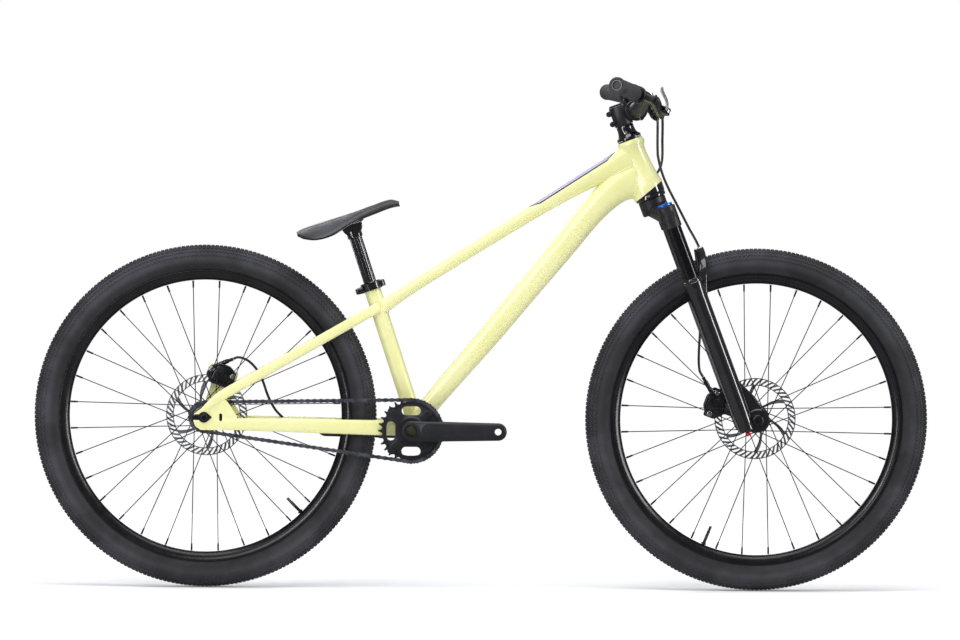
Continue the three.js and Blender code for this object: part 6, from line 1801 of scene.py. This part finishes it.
def saddle_pad():
    """The stuffed form, pulled in along a sewn seam on each flank and full between the seams."""
    sides, seams = 160, (9, 71)
    pad = saddle_layer(1, 0, lambda t: saddle_thickness * t, sides=sides)
    pad.normal_update()
    moves = []
    for v in pad.verts:
        round_step, ring = v.index % sides, v.index // sides
        from_seam = min(abs(round_step - seam) for seam in seams)
        pucker = 0.75 + 0.25 * sin(ring * 2.1)
        fullness = 0.7 * (1 - min(from_seam, 8) / 8) * min(from_seam, 2) / 2
        moves.append((v, v.normal * (fullness - (1.1 * pucker if from_seam == 0 else 0))))
    for v, move in moves:
        v.co += move
    hole = placed(post(9.3, -60, 60, 48), seating, saddle_frame.inverted())
    return combined(pad, [hole], "DIFFERENCE")


pad_piece = finished(
    "saddle_pad", placed(saddle_pad(), saddle_frame), "seat", cover_cloth,
    ["saddle_pad"], crease=50,
)


base_plastic = coating(
    "hard_black_plastic", tint(24, 24, 26), tint(34, 34, 37), (0.22, 0.36), patch=60,
    relief=(1400, 0.000015),
)


def saddle_base():
    """A skirt under the pad and a boss that is hollowed to fit the post's drum."""
    skirt = saddle_layer(0.95, 5, lambda t: 2 + 7 * t, 2.4)
    boss = drawn([
        ((-27, 0, -13), 24, 9, 3), ((-18, 0, -14), 30, 15, 3), ((0, 0, -14), 32, 17, 3),
        ((14, 0, -13), 28, 15, 3), ((25, 0, -11), 22, 9, 3),
    ], 40, 6)
    drum = placed(pin(20.8, -40, 40, 80), Matrix.Translation((0, 0, 420.6)))
    drum = combined(drum, [all_above(424.3)], "DIFFERENCE")
    drum = placed(drum, seating, saddle_frame.inverted())
    return combined(combined(skirt, [boss]), [drum], "DIFFERENCE")


finished(
    "saddle_base", placed(saddle_base(), saddle_frame), "seat", base_plastic,
    ["saddle_shell"], crease=40,
)
saddle_bolt = socket_bolt(8, 4.4, shank=34)
finished(
    "saddle_bolt", placed(saddle_bolt, Matrix.Translation((0, 0, 430.6)), seating), "seat",
    bolt_steel, ["saddle_bolt"],
)


# The brake hoses. Black nylon tubes over a braided core. The front one runs down inside the left
# leg, the rear one goes in behind the head tube and comes out of the left chainstay. Each end is
# screwed into its lever or caliper.
hose_black = coating(
    "hose_black", tint(24, 24, 26), tint(32, 32, 35), (0.3, 0.42), patch=80, relief=(2600, 0.00001),
)
hose_width = 5


def hose(points):
    """A tube of even width along a route."""
    return drawn([(p, hose_width, hose_width) for p in points], 14, 7, across=(1, 0.2, 0.1))


front_route = [
    (480.3, 148.6, 618.7), (483.2, 135, 613.1), (483.4, 111, 543.8), (496.9, 87, 493.5),
    (520.6, 66.6, 445.5), (545.7, 50, 396.2), (566, 41.4, 356.4), (570, 40, 319.9), (570.7, 40, 274.2),
    (569.4, 40.7, 228.5), (566.6, 42.2, 182.8), (567.2, 51.4, 118.8), (574.2, 51.4, 106.2),
]
front_hose = finished(
    "front_hose", hose(front_route), None, hose_black, ["front_hose"],
)
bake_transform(front_hose)
steered_route = [
    (480.3, -148.6, 618.7), (483.2, -135, 613.1), (484.7, -98, 570), (486.5, -58, 544),
    (486, -22.2, 526), (481.6, 7.4, 512), (472, 31, 500), (457, 42, 490), (440.1, 38, 482.8),
    (421.1, 22.2, 477.5),
]
steered_hose = finished(
    "rear_hose_steered", hose(steered_route), None, hose_black, ["rear_hose_front"],
)
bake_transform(steered_hose)
finished("rear_hose", hose([
    (-353, 51.4, 134.9), (-344.2, 51.4, 138.3), (-326.3, 49.6, 133.4), (-312.1, 48.1, 121.6),
    (-300.6, 47.4, 105.6), (-293.1, 47.4, 89.1), (-287, 48.1, 70.8), (-278.9, 49.6, 51.6),
    (-267.4, 51.8, 32.9), (-255.2, 54.8, 20.6),
]), "frame", hose_black, ["rear_hose"])
